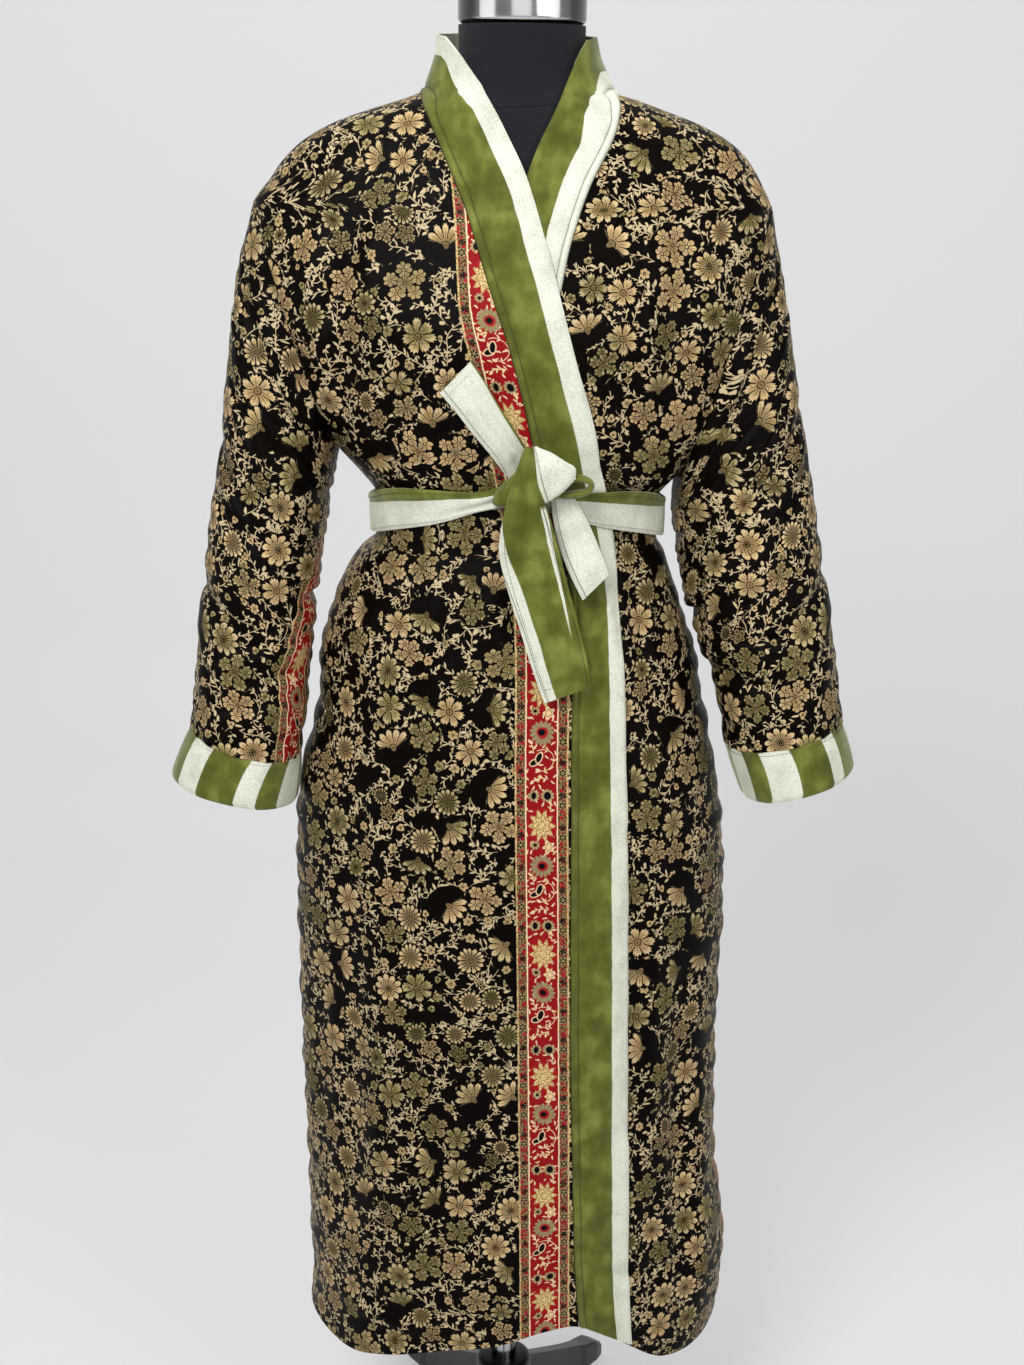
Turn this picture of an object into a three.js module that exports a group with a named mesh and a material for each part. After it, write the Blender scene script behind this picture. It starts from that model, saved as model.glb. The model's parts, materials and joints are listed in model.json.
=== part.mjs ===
// A full-length wrap dressing gown with its belt, on a limbless dress form and its stand.
// Sizes are in millimetres, +Z is up and the gown's front looks towards -Y.
// Right and left are the wearer's: the right side is at -X. The right front lies on top.

import * as THREE from 'three';

// Cloth
const wall = 2.5;
const velvetWall = 3;
const velvetProud = 0.6;
const seamGap = 0.35;
const overlapLift = 4.9;
const overlapEase = 45;
const overlapReach = 10;
const armholeGap = 0.6;
const centreBackHalfGap = 0.003;
const roundness = 2.2;

// Heights over the floor
const hemHeight = 190;
const hemEaseTop = 390;
const neckSeamHeight = 1424;
const collarTop = 1484;

// Stand and form
const poleRadius = 13.5;
const poleFoot = 40;
const formBottom = 812;
const capTop = 1520;
const capRadius = 57.6;
const capEdge = 5;
const legCount = 5;
const legReach = 182;
const legBevel = 3;
const hubRadius = 30;
const hubBottom = 44;
const hubTop = 102;

const columns = (names, rows) => rows.map(
  (row) => Object.fromEntries(names.map((name, i) => [name, row[i]])),
);

// The gown's girth: half widths on the wearer's right and left, and depths to front and back.
const sections = columns(['height', 'right', 'left', 'front', 'back'], [
  [160, 209, 222, 140, 128],
  [220, 206, 232, 140, 128],
  [290, 208, 231, 140, 128],
  [365, 209, 219, 139, 128],
  [525, 213, 214, 137, 127],
  [640, 215, 216, 136, 126],
  [730, 214, 211, 134, 125],
  [790, 208, 202, 131, 122],
  [850, 192, 189, 127, 118],
  [912, 187, 176, 121, 113],
  [952, 177, 163, 116, 109],
  [990, 160, 149, 110, 104],
  [1008, 147, 143, 107, 101],
  [1019, 133, 136, 104, 98],
  [1044, 131, 134, 102, 96],
  [1064, 133, 136, 103, 97],
  [1080, 145, 150, 107, 100],
  [1104, 167, 175, 113, 106],
  [1130, 190, 194, 117, 109],
  [1160, 212, 211, 120, 111],
  [1220, 238, 231, 124, 112],
  [1280, 247, 237, 112, 108],
  [1311, 247, 235, 102, 102],
  [1330, 242, 230, 94, 97],
  [1348, 228, 221, 87, 92],
  [1366, 215, 210, 80, 86],
  [1384, 195, 192, 74, 79],
  [1400, 165, 163, 70, 72],
  [1412, 130, 130, 67, 67],
  [1420, 104, 107, 65, 65],
  [1426, 90, 88, 64, 63],
  [1436, 84, 80, 63, 64],
  [1456, 77, 70, 63, 67],
  [1484, 70, 63, 63, 70],
]);

// Rows of every panel, between the hem and the neck.
const rowHeights = [
  190, 240, 310, 400, 480, 560, 640, 720, 790, 845, 890, 930, 965, 990, 1007, 1020, 1044, 1062,
  1080, 1104, 1130, 1165, 1205, 1245, 1285, 1311, 1322, 1330, 1348, 1366, 1384, 1400, 1412, 1420,
  1424,
];

// The front bands: where each is sewn to its front, and the free edge straight across from there.
const bandRight = columns(['height', 'seam', 'edge', 'edgeHeight'], [
  [190, 73, 128, 190],
  [491, 61, 117, 491],
  [700, 56, 111, 700],
  [895, 53, 102, 895],
  [986, 50, 95, 986],
  [1044, 37, 87, 1045],
  [1078, 26, 80, 1084],
  [1122, 15, 70, 1136],
  [1196, -3, 48, 1211],
  [1266, -27, 28, 1283],
  [1326, -47, 7, 1350],
  [1365, -64, -11, 1389],
  [1400, -80, -31, 1424],
  [1418, -88, -55, 1458],
  [1424, -89.5, -65, 1471],
]);
const bandLeft = columns(['height', 'seam', 'edge', 'edgeHeight'], [
  [190, -73, -128, 190],
  [491, -61, -117, 491],
  [700, -56, -111, 700],
  [895, -53, -102, 895],
  [986, -50, -95, 986],
  [1044, -37, -87, 1045],
  [1104, -18, -70, 1115],
  [1165, 8, -46, 1180],
  [1205, 20, -34, 1221],
  [1254, 36, -18, 1272],
  [1297, 45, -7, 1315],
  [1346, 61, 12, 1373],
  [1388, 82, 32, 1415],
  [1412, 88, 44, 1444],
  [1424, 87, 57, 1470],
]);

// The hem's height under each place, on the top front and on the front beneath it.
const hemTop = columns(['x', 'height'], [
  [-212, 187], [-163, 179], [-120, 188], [-60, 204], [0, 213], [40, 229], [73, 236], [128, 215],
]);
const hemBeneath = columns(['x', 'height'], [
  [-128, 214], [0, 212], [130, 209], [161, 191], [190, 187], [225, 174],
]);
const hemBack = columns(['x', 'height'], [
  [-212, 187], [-140, 181], [-40, 192], [70, 184], [150, 190], [225, 174],
]);

// The largest folds of the body, as straight troughs (-) and ridges (+) from one end to the other.
const foldNames = ['fromX', 'fromHeight', 'toX', 'toHeight', 'width', 'depth'];
const frontFolds = columns(foldNames, [
  [-160, 1130, -150, 1345, 13, -6],
  [-137, 1120, -112, 1300, 12, 4],
  [-172, 1160, -190, 1330, 12, 4],
  [142, 1110, 138, 1335, 13, -6],
  [120, 1120, 98, 1300, 12, 4],
  [160, 1130, 178, 1310, 12, 4],
  [-105, 1085, -95, 1190, 9, -4],
  [-70, 1090, -62, 1170, 8, -3],
  [104, 1085, 92, 1180, 9, -4],
  [-100, 1020, -128, 880, 10, -4],
  [-55, 1020, -66, 900, 9, -3],
  [105, 1020, 136, 860, 10, -4],
  [-150, 760, -158, 240, 20, -5],
  [-108, 700, -100, 210, 18, 4],
  [168, 640, 186, 190, 13, -9],
  [192, 480, 204, 200, 14, 5],
]);
const backFolds = columns(foldNames, [
  [-150, 1140, -128, 1330, 13, -6],
  [148, 1130, 124, 1320, 13, -6],
  [-90, 1085, -76, 1210, 10, -5],
  [-30, 1085, -26, 1180, 9, -4],
  [36, 1085, 30, 1200, 9, -4],
  [92, 1085, 80, 1190, 10, -5],
  [-96, 1020, -122, 850, 11, -5],
  [-34, 1020, -42, 880, 10, -4],
  [38, 1020, 50, 860, 10, -4],
  [100, 1020, 126, 850, 11, -5],
  [-120, 720, -138, 200, 20, -7],
  [-66, 700, -72, 200, 18, 6],
  [0, 740, 4, 200, 20, -6],
  [70, 700, 78, 200, 18, 6],
  [130, 720, 146, 200, 20, -7],
]);

// Sleeves: each row is one ring, by its outer and inner edges seen from the front, its half depths
// to front and back, and how far its middle hangs forward. The first ring is the armhole.
const sleeveNames = ['along', 'outer', 'outerHeight', 'inner', 'innerHeight', 'front', 'back', 'forward'];
const sleeves = {
  right: {
    side: -1,
    rings: columns(sleeveNames, [
      [0, 242, 1330, 167, 1104, 74, 70, 0],
      [0.1, 257, 1278, 171, 1088, 73, 70, 1],
      [0.24, 266, 1219, 175, 1067, 71, 69, 4],
      [0.38, 273, 1155, 179, 1039, 69, 68, 9],
      [0.52, 281, 1089, 184, 1005, 68, 67, 15],
      [0.66, 291, 1021, 188, 966, 67, 66, 23],
      [0.8, 299, 953, 193, 915, 66, 65, 32],
      [0.92, 305, 886, 199, 860, 66, 64, 40],
      [1, 309, 843, 205, 813, 67, 64, 45],
    ]),
    cuff: { outer: 328, outerHeight: 794, inner: 208, innerHeight: 768, front: 69, back: 65 },
    folds: columns(['along', 'turn', 'spread', 'slant', 'width', 'depth'], [
      [0.16, 75, 60, 0.06, 0.03, -5],
      [0.3, 160, 75, -0.05, 0.028, -5],
      [0.47, 20, 70, 0.07, 0.026, -5],
      [0.57, 95, 70, -0.06, 0.026, -4],
      [0.66, 170, 80, 0.05, 0.026, -6],
      [0.76, 50, 80, 0.05, 0.024, -5],
      [0.85, 130, 80, -0.05, 0.024, -5],
      [0.62, -90, 80, 0.07, 0.028, -6],
      [0.78, -120, 80, -0.05, 0.026, -5],
      [0.3, -80, 70, 0.05, 0.03, -5],
    ]),
  },
  left: {
    side: 1,
    rings: columns(sleeveNames, [
      [0, 230, 1330, 151, 1080, 74, 70, 0],
      [0.1, 241, 1280, 149, 1056, 74, 70, 1],
      [0.24, 252, 1225, 151, 1033, 73, 69, 4],
      [0.38, 262, 1166, 155, 1009, 72, 68, 9],
      [0.52, 272, 1115, 159, 988, 71, 67, 15],
      [0.66, 285, 1043, 166, 957, 70, 66, 23],
      [0.8, 298, 975, 179, 921, 69, 65, 32],
      [0.92, 308, 913, 194, 885, 68, 64, 40],
      [1, 316, 858, 205, 830, 68, 64, 44],
    ]),
    cuff: { outer: 329, outerHeight: 812, inner: 223, innerHeight: 780, front: 69, back: 66 },
    folds: columns(['along', 'turn', 'spread', 'slant', 'width', 'depth'], [
      [0.15, 80, 60, 0.06, 0.03, -5],
      [0.32, 165, 75, -0.05, 0.028, -5],
      [0.44, 30, 70, 0.07, 0.026, -5],
      [0.56, 110, 70, -0.06, 0.026, -5],
      [0.68, 175, 80, 0.05, 0.026, -6],
      [0.79, 60, 80, 0.05, 0.024, -6],
      [0.88, 140, 80, -0.05, 0.024, -5],
      [0.6, -95, 80, 0.07, 0.028, -6],
      [0.8, -70, 80, -0.05, 0.026, -5],
      [0.33, -85, 70, 0.05, 0.03, -5],
    ]),
  },
};

// The belt round the waist narrows into the knot. Turns are in degrees from the centre front.
const beltLine = columns(['turn', 'top', 'bottom'], [
  [0, 1092, 1071],
  [6, 1089, 1070],
  [11, 1085, 1067],
  [15, 1084, 1064],
  [31, 1085, 1050],
  [50, 1082, 1040],
  [90, 1063, 1022],
  [135, 1060, 1018],
  [180, 1060, 1018],
]);

// Stretches of belt that hang or stand free: both edges of each row and how far forward it lies.
const strapNames = ['x1', 'height1', 'y1', 'x2', 'height2', 'y2'];
const straps = {
  belt_end_upper: columns(strapNames, [
    [-66, 1175, -144, -40, 1202, -143],
    [-52, 1158, -142, -28, 1184, -141],
    [-37, 1140, -138, -16, 1166, -137],
    [-21, 1121, -129, -4, 1146, -131],
    [-7, 1104, -121.3, 6, 1128, -125.4],
  ]),
  belt_end_long: columns(strapNames, [
    [7, 1127, -136, 15, 1127, -137],
    [3, 1110, -139, 16, 1109, -141],
    [-1, 1094, -139, 18, 1091, -142],
    [-7, 1063, -135, 27, 1070, -140],
    [-8, 1031, -133, 38, 1031, -137],
    [9, 985, -133, 50, 985, -136],
    [20, 940, -136, 61, 943, -136],
    [31, 893, -139, 70, 908, -137],
  ]),
  belt_end_short: columns(strapNames, [
    [30, 1077, -119.4, 50, 1075, -114.4],
    [36, 1058, -119.4, 60, 1060, -112.4],
    [44, 1036, -120, 70, 1042, -114],
    [53, 1010, -124, 76, 1022, -119],
    [61, 985, -125, 81, 1007, -121],
  ]),
  belt_flap: columns(strapNames, [
    [16, 1125, -137, 19, 1127, -136],
    [17, 1112, -139, 34, 1120, -137],
    [19, 1098, -140, 47, 1113, -137],
    [22, 1085, -140, 53, 1106, -136],
    [25, 1078, -139, 51, 1099, -135],
  ]),
};

// The dress form's girth, from its foot to the top of its neck.
const formSections = columns(['height', 'half', 'front', 'back'], [
  [812, 118, 70, 76],
  [820, 146, 92, 98],
  [840, 160, 103, 108],
  [875, 166, 108, 110],
  [930, 150, 102, 104],
  [990, 124, 90, 88],
  [1044, 112, 84, 80],
  [1090, 120, 91, 84],
  [1150, 138, 105, 91],
  [1205, 150, 112, 95],
  [1260, 157, 102, 97],
  [1310, 168, 88, 92],
  [1344, 182, 78, 84],
  [1369, 189, 72, 78],
  [1385, 184, 67, 73],
  [1399, 158, 64, 67],
  [1410.5, 126, 61.5, 62],
  [1418, 101, 59.5, 60],
  [1423, 84, 58.5, 59],
  [1430, 68, 57.5, 58],
  [1442, 58, 57, 57],
  [1483, 57, 57, 57],
]);

// A smooth curve through one column of a table.
function curveAt(rows, key, at, name) {
  const last = rows.length - 1;
  let i = 0;
  while (i < last - 1 && at > rows[i + 1][key]) i += 1;
  const slope = (k) => {
    const low = rows[Math.max(k - 1, 0)];
    const high = rows[Math.min(k + 1, last)];
    return (high[name] - low[name]) / (high[key] - low[key]);
  };
  const span = rows[i + 1][key] - rows[i][key];
  const t = THREE.MathUtils.clamp((at - rows[i][key]) / span, 0, 1);
  const t2 = t * t;
  const t3 = t2 * t;
  return (2 * t3 - 3 * t2 + 1) * rows[i][name] + (t3 - 2 * t2 + t) * span * slope(i)
    + (3 * t2 - 2 * t3) * rows[i + 1][name] + (t3 - t2) * span * slope(i + 1);
}

const ease = (t) => THREE.MathUtils.smoothstep(t, 0, 1);
const mix = THREE.MathUtils.lerp;
const power = (value, exponent) => Math.sign(value) * Math.abs(value) ** exponent;

// How far the folds move the cloth in or out at one place.
function foldDepth(folds, x, height) {
  let depth = 0;
  for (const fold of folds) {
    const runX = fold.toX - fold.fromX;
    const runHeight = fold.toHeight - fold.fromHeight;
    const length = Math.hypot(runX, runHeight);
    const alongX = runX / length;
    const alongHeight = runHeight / length;
    const t = ((x - fold.fromX) * alongX + (height - fold.fromHeight) * alongHeight) / length;
    if (t <= 0 || t >= 1) continue;
    const off = (x - fold.fromX) * alongHeight - (height - fold.fromHeight) * alongX;
    depth += fold.depth * Math.sin(Math.PI * t) * Math.exp(-((off / fold.width) ** 2));
  }
  return depth;
}

// A point of the gown's body. turn is 0 at the centre front and a quarter turn at each side.
function bodyPoint(turn, height) {
  const across = Math.sin(turn);
  const isFront = Math.cos(turn) >= 0;
  const half = curveAt(sections, 'height', height, across < 0 ? 'right' : 'left');
  const reach = curveAt(sections, 'height', height, isFront ? 'front' : 'back');
  const depth = Math.max(0, 1 - Math.abs(across) ** roundness) ** (1 / roundness);
  const x = half * across;
  const fold = foldDepth(isFront ? frontFolds : backFolds, x, height) * Math.min(1, depth * 3);
  const out = new THREE.Vector2(across / half, ((isFront ? -1 : 1) * depth) / reach).normalize();
  return new THREE.Vector3(
    x + out.x * fold,
    (isFront ? -1 : 1) * reach * depth + out.y * fold,
    height,
  );
}

// The outward direction there.
function bodyNormal(turn, height) {
  const turnStep = 0.004;
  const heightStep = 1;
  const round = bodyPoint(turn + turnStep, height).sub(bodyPoint(turn - turnStep, height));
  const up = bodyPoint(turn, height + heightStep).sub(bodyPoint(turn, height - heightStep));
  return round.cross(up).normalize();
}

function frontTurn(x, height) {
  const half = curveAt(sections, 'height', height, x < 0 ? 'right' : 'left');
  return Math.asin(THREE.MathUtils.clamp(x / half, -1, 1));
}

// How far the top layer stands off the layer beneath it.
function topLift(x, height) {
  const edgeBeneath = curveAt(bandLeft, 'height', height, 'edge');
  return overlapLift * ease((x - edgeBeneath + overlapEase + overlapReach) / overlapEase);
}

// The height of a row at one place, which follows the hem near the foot.
function hemmed(hem, x, height) {
  if (height >= hemEaseTop) return height;
  const share = (hemEaseTop - height) / (hemEaseTop - hemHeight);
  return height + (curveAt(hem, 'x', x, 'height') - hemHeight) * share;
}

// A point of one layer of the body, out from the surface by lift(x, height).
function layerPoint(turn, height, hem, lift) {
  const level = hemmed(hem, bodyPoint(turn, height).x, height);
  const point = bodyPoint(turn, level);
  const normal = bodyNormal(turn, level);
  const stand = lift(point.x, level);
  return { outer: point.clone().addScaledVector(normal, stand), normal };
}

function armholeTurn(sleeve, height) {
  const top = sleeve.rings[0];
  if (height <= top.innerHeight || height >= top.outerHeight) return Math.PI / 2;
  const t = (height - top.innerHeight) / (top.outerHeight - top.innerHeight);
  return Math.abs(frontTurn(sleeve.side * mix(top.inner, top.outer, t), height));
}

// A closed shell from its outer and inner faces, each a grid of columns and rows.
function shellGeometry(cols, rows, corner, isTube) {
  const positions = [];
  const faces = [];
  const across = isTube ? cols : cols + 1;
  for (let j = 0; j <= rows; j += 1) {
    for (let i = 0; i < across; i += 1) {
      const { outer, inner } = corner(i, j);
      positions.push(outer.x, outer.y, outer.z, inner.x, inner.y, inner.z);
    }
  }
  const outerAt = (i, j) => 2 * (j * across + (i % across));
  const innerAt = (i, j) => outerAt(i, j) + 1;
  const quad = (a, b, c, d) => faces.push(a, b, c, a, c, d);
  for (let j = 0; j < rows; j += 1) {
    for (let i = 0; i < cols; i += 1) {
      quad(outerAt(i, j), outerAt(i + 1, j), outerAt(i + 1, j + 1), outerAt(i, j + 1));
      quad(innerAt(i, j), innerAt(i, j + 1), innerAt(i + 1, j + 1), innerAt(i + 1, j));
    }
  }
  for (let i = 0; i < cols; i += 1) {
    quad(innerAt(i, 0), innerAt(i + 1, 0), outerAt(i + 1, 0), outerAt(i, 0));
    quad(outerAt(i, rows), outerAt(i + 1, rows), innerAt(i + 1, rows), innerAt(i, rows));
  }
  if (!isTube) {
    for (let j = 0; j < rows; j += 1) {
      quad(innerAt(0, j), outerAt(0, j), outerAt(0, j + 1), innerAt(0, j + 1));
      quad(outerAt(cols, j), innerAt(cols, j), innerAt(cols, j + 1), outerAt(cols, j + 1));
    }
  }
  return closedGeometry(positions, faces);
}

// A solid from rings of points, closed by a fan at each end.
function ringGeometry(rings) {
  const count = rings[0].length;
  const positions = rings.flat().flatMap((p) => [p.x, p.y, p.z]);
  const faces = [];
  for (let j = 0; j < rings.length - 1; j += 1) {
    for (let i = 0; i < count; i += 1) {
      const next = (i + 1) % count;
      const a = j * count + i;
      const b = j * count + next;
      faces.push(a, b, b + count, a, b + count, a + count);
    }
  }
  for (const [j, order] of [[0, 1], [rings.length - 1, -1]]) {
    const middle = new THREE.Vector3();
    rings[j].forEach((p) => middle.addScaledVector(p, 1 / count));
    const hub = positions.length / 3;
    positions.push(middle.x, middle.y, middle.z);
    for (let i = 0; i < count; i += 1) {
      const a = j * count + i;
      const b = j * count + ((i + 1) % count);
      faces.push(...(order > 0 ? [b, a, hub] : [a, b, hub]));
    }
  }
  return closedGeometry(positions, faces);
}

// Faces are turned to point outwards where the volume comes out negative.
function closedGeometry(positions, faces) {
  const at = (k) => new THREE.Vector3().fromArray(positions, 3 * k);
  let volume = 0;
  for (let f = 0; f < faces.length; f += 3) {
    volume += at(faces[f]).dot(at(faces[f + 1]).cross(at(faces[f + 2])));
  }
  if (volume < 0) {
    for (let f = 0; f < faces.length; f += 3) {
      [faces[f + 1], faces[f + 2]] = [faces[f + 2], faces[f + 1]];
    }
  }
  const geometry = new THREE.BufferGeometry();
  geometry.setAttribute('position', new THREE.Float32BufferAttribute(positions, 3));
  geometry.setIndex(faces);
  geometry.computeVertexNormals();
  return geometry;
}

// A body panel between two edges, given as turns at each height.
function panelGeometry(cols, heights, turns, hem, lift, face) {
  return shellGeometry(cols, heights.length - 1, (i, j) => {
    const height = heights[j];
    const [first, last] = turns(height);
    const { outer, normal } = layerPoint(mix(first, last, i / cols), height, hem, lift);
    outer.y += (face * seamGap) / 2;
    return { outer, inner: outer.clone().addScaledVector(normal, -wall) };
  }, false);
}

const flat = () => 0;

function frontRightGeometry() {
  const turns = (height) => [
    -armholeTurn(sleeves.right, height),
    frontTurn(curveAt(bandRight, 'height', height, 'seam'), height),
  ];
  return panelGeometry(12, rowHeights, turns, hemTop, topLift, -1);
}

function frontLeftGeometry() {
  const turns = (height) => [
    frontTurn(curveAt(bandLeft, 'height', height, 'seam'), height),
    armholeTurn(sleeves.left, height),
  ];
  return panelGeometry(12, rowHeights, turns, hemBeneath, flat, -1);
}

function backGeometry() {
  const turns = (height) => [
    Math.PI - armholeTurn(sleeves.left, height),
    Math.PI + armholeTurn(sleeves.right, height),
  ];
  return panelGeometry(18, rowHeights, turns, hemBack, flat, 1);
}

// A front band: up the front's edge, then standing round the neck to the centre back.
function bandGeometry(band, side, hem, lift) {
  const cols = 3;
  const neckSteps = 7;
  const top = band[band.length - 1];
  const seamEnd = frontTurn(top.seam, top.height);
  const edgeEnd = frontTurn(top.edge, top.edgeHeight);
  const centreBack = side * (Math.PI - centreBackHalfGap);
  const stations = rowHeights.map((height) => {
    const seam = curveAt(band, 'height', height, 'seam') - side * seamGap;
    const edge = curveAt(band, 'height', height, 'edge');
    const edgeHeight = curveAt(band, 'height', height, 'edgeHeight');
    return {
      seamTurn: frontTurn(seam, height),
      seamHeight: height + (height === top.height ? seamGap : 0),
      edgeTurn: frontTurn(edge, edgeHeight),
      edgeHeight,
    };
  });
  for (let k = 1; k <= neckSteps; k += 1) {
    const t = k / neckSteps;
    stations.push({
      seamTurn: mix(seamEnd, centreBack, t),
      seamHeight: neckSeamHeight + seamGap,
      edgeTurn: mix(edgeEnd, centreBack, t),
      edgeHeight: mix(top.edgeHeight, collarTop, t),
    });
  }
  return shellGeometry(cols, stations.length - 1, (i, j) => {
    const s = stations[j];
    const turn = mix(s.seamTurn, s.edgeTurn, i / cols);
    const height = mix(s.seamHeight, s.edgeHeight, i / cols);
    const { outer, normal } = layerPoint(turn, height, hem, lift);
    outer.addScaledVector(normal, velvetProud);
    return { outer, inner: outer.clone().addScaledVector(normal, -velvetWall) };
  }, false);
}

// How far a sleeve's wrinkles move its wall in or out.
function sleeveFold(sleeve, turn, along) {
  let depth = 0;
  for (const fold of sleeve.folds) {
    const away = THREE.MathUtils.euclideanModulo(
      THREE.MathUtils.radToDeg(turn) - fold.turn + 180, 360,
    ) - 180;
    if (Math.abs(away) >= fold.spread) continue;
    const share = Math.cos((Math.PI / 2) * (away / fold.spread)) ** 2;
    const off = (along - fold.along - (fold.slant * away) / fold.spread) / fold.width;
    depth += fold.depth * share * Math.exp(-(off ** 2));
  }
  const easeTop = 0.08;
  const easeFoot = 0.06;
  return depth * ease(along / easeTop) * ease((1 - along) / easeFoot);
}

// Where the body's edge lies at the armhole, as a distance to front or back.
function armholeDepth(sleeve, share, isFront) {
  const top = sleeve.rings[0];
  const height = mix(top.innerHeight, top.outerHeight, share);
  const turn = sleeve.side * Math.abs(frontTurn(mix(top.inner, top.outer, share), height));
  return Math.abs(bodyPoint(isFront ? turn : Math.PI - turn, height).y);
}

// A point of a sleeve or cuff ring. turn is 0 at its outer edge and a quarter turn at its front.
// Near the armhole the ring keeps the flat shape of the body's side and stands just off it.
function ringPoint(sleeve, ring, turn, along, inset) {
  const clearEnd = 0.05;
  const slopeEnd = 0.3;
  const shapeEnd = 0.34;
  const slopeInset = 0.8;
  const middle = new THREE.Vector2(
    (ring.outer + ring.inner) / 2,
    (ring.outerHeight + ring.innerHeight) / 2,
  );
  const reach = new THREE.Vector2(
    ring.outer - ring.inner,
    ring.outerHeight - ring.innerHeight,
  ).multiplyScalar(0.5);
  const halfWidth = reach.length();
  const slope = (1 - ease(along / slopeEnd)) * Math.max(0, Math.cos(turn));
  const steepness = 1 + slopeInset * slope;
  const fold = sleeveFold(sleeve, turn, along);
  const across = power(Math.cos(turn), 2 / roundness);
  const round = power(Math.sin(turn), 2 / roundness);
  const isFront = round >= 0;
  const ellipseDepth = isFront ? ring.front : ring.back;
  const seamDepth = armholeDepth(sleeve, (1 + across) / 2, isFront);
  const share = ease(along / shapeEnd);
  const depth = mix(seamDepth, ellipseDepth * Math.abs(round), share);
  const widen = 1 + (fold - inset * steepness) / halfWidth;
  const deepen = 1 + (fold - inset) / ellipseDepth;
  const clear = ((1 - ease(along / clearEnd)) * armholeGap) / halfWidth;
  return new THREE.Vector3(
    sleeve.side * (middle.x + reach.x * across * widen + reach.y * clear),
    (isFront ? -1 : 1) * depth * deepen - ring.forward,
    middle.y + reach.y * across * widen - reach.x * clear,
  );
}

function sleeveGeometry(sleeve) {
  const around = 20;
  const steps = 17;
  return shellGeometry(around, steps, (i, j) => {
    const turn = (2 * Math.PI * i) / around;
    const along = j / steps;
    const ring = Object.fromEntries(
      sleeveNames.map((name) => [name, curveAt(sleeve.rings, 'along', along, name)]),
    );
    return {
      outer: ringPoint(sleeve, ring, turn, along, 0),
      inner: ringPoint(sleeve, ring, turn, along, wall),
    };
  }, true);
}

function cuffGeometry(sleeve) {
  const around = 20;
  const steps = 3;
  const flare = 0.8;
  const first = sleeve.rings[sleeve.rings.length - 1];
  const foot = { ...sleeve.cuff, forward: first.forward + 2 };
  return shellGeometry(around, steps, (i, j) => {
    const turn = (2 * Math.PI * i) / around;
    const t = j / steps;
    const ring = Object.fromEntries(
      Object.keys(foot).map((name) => [name, mix(first[name], foot[name], t ** flare)]),
    );
    const outer = ringPoint(sleeve, ring, turn, 1, 0);
    const inner = ringPoint(sleeve, ring, turn, 1, velvetWall);
    outer.z -= seamGap * (1 - t);
    inner.z -= seamGap * (1 - t);
    return { outer, inner };
  }, true);
}

// The belt lies on the body, over both fronts and the band.
function beltLift(turn) {
  const clear = 1.2;
  const atBack = velvetWall + clear + seamGap;
  const atFront = overlapLift + velvetProud + velvetWall + clear;
  const sideTurn = 1.5;
  const blend = 0.5;
  return mix(atFront, atBack, ease((Math.abs(turn) - sideTurn) / blend + 0.5));
}

function beltWaistGeometry() {
  const around = 64;
  const steps = 3;
  return shellGeometry(around, steps, (i, j) => {
    const turn = THREE.MathUtils.euclideanModulo((2 * Math.PI * i) / around + Math.PI, 2 * Math.PI)
      - Math.PI;
    const degrees = Math.abs(THREE.MathUtils.radToDeg(turn));
    const bottom = curveAt(beltLine, 'turn', degrees, 'bottom');
    const top = curveAt(beltLine, 'turn', degrees, 'top');
    const height = mix(bottom, top, j / steps);
    const normal = bodyNormal(turn, height);
    const outer = bodyPoint(turn, height).addScaledVector(normal, beltLift(turn));
    return { outer, inner: outer.clone().addScaledVector(normal, -velvetWall) };
  }, true);
}

// A free stretch of belt, bowed a little forward between its edges.
function strapGeometry(rows) {
  const cols = 3;
  const bow = 2;
  const point = (i, j) => {
    const row = rows[j];
    const t = i / cols;
    return new THREE.Vector3(
      mix(row.x1, row.x2, t),
      mix(row.y1, row.y2, t) - bow * Math.sin(Math.PI * t),
      mix(row.height1, row.height2, t),
    );
  };
  const clampTo = THREE.MathUtils.clamp;
  return shellGeometry(cols, rows.length - 1, (i, j) => {
    const last = rows.length - 1;
    const across = point(clampTo(i + 1, 0, cols), j).sub(point(clampTo(i - 1, 0, cols), j));
    const down = point(i, clampTo(j + 1, 0, last)).sub(point(i, clampTo(j - 1, 0, last)));
    const normal = across.cross(down).normalize();
    if (normal.y > 0) normal.negate();
    const outer = point(i, j);
    return { outer, inner: outer.clone().addScaledVector(normal, -velvetWall) };
  }, false);
}

// A lump of rolled belt round a short path, each ring by its centre, half height and half depth.
function rollGeometry(rings, around) {
  const fullness = 0.8;
  return ringGeometry(rings.map((ring) => Array.from({ length: around }, (unused, i) => {
    const turn = (2 * Math.PI * i) / around;
    return new THREE.Vector3(
      ring.x + ring.lean * Math.sin(turn),
      ring.y - ring.halfDepth * power(Math.cos(turn), fullness),
      ring.height + ring.halfHeight * power(Math.sin(turn), fullness),
    );
  })));
}

const rollNames = ['x', 'y', 'height', 'halfHeight', 'halfDepth', 'lean'];
const knotRings = columns(rollNames, [
  [-17, -122, 1082, 5, 4, 2],
  [-12, -125, 1084, 13, 6, 5],
  [0, -127, 1088, 16, 7.5, 5],
  [16, -127.5, 1092, 17, 8, 4],
  [30, -127, 1094, 16, 8, 3],
  [40, -126, 1093, 13, 6, 2],
]);
const loopRings = columns(rollNames, [
  [41, -126, 1090, 8, 5, 0],
  [50, -125, 1090, 10, 7, 0],
  [60, -123, 1088, 9, 6, 0],
  [65, -122, 1087, 5, 3, 0],
]);

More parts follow.
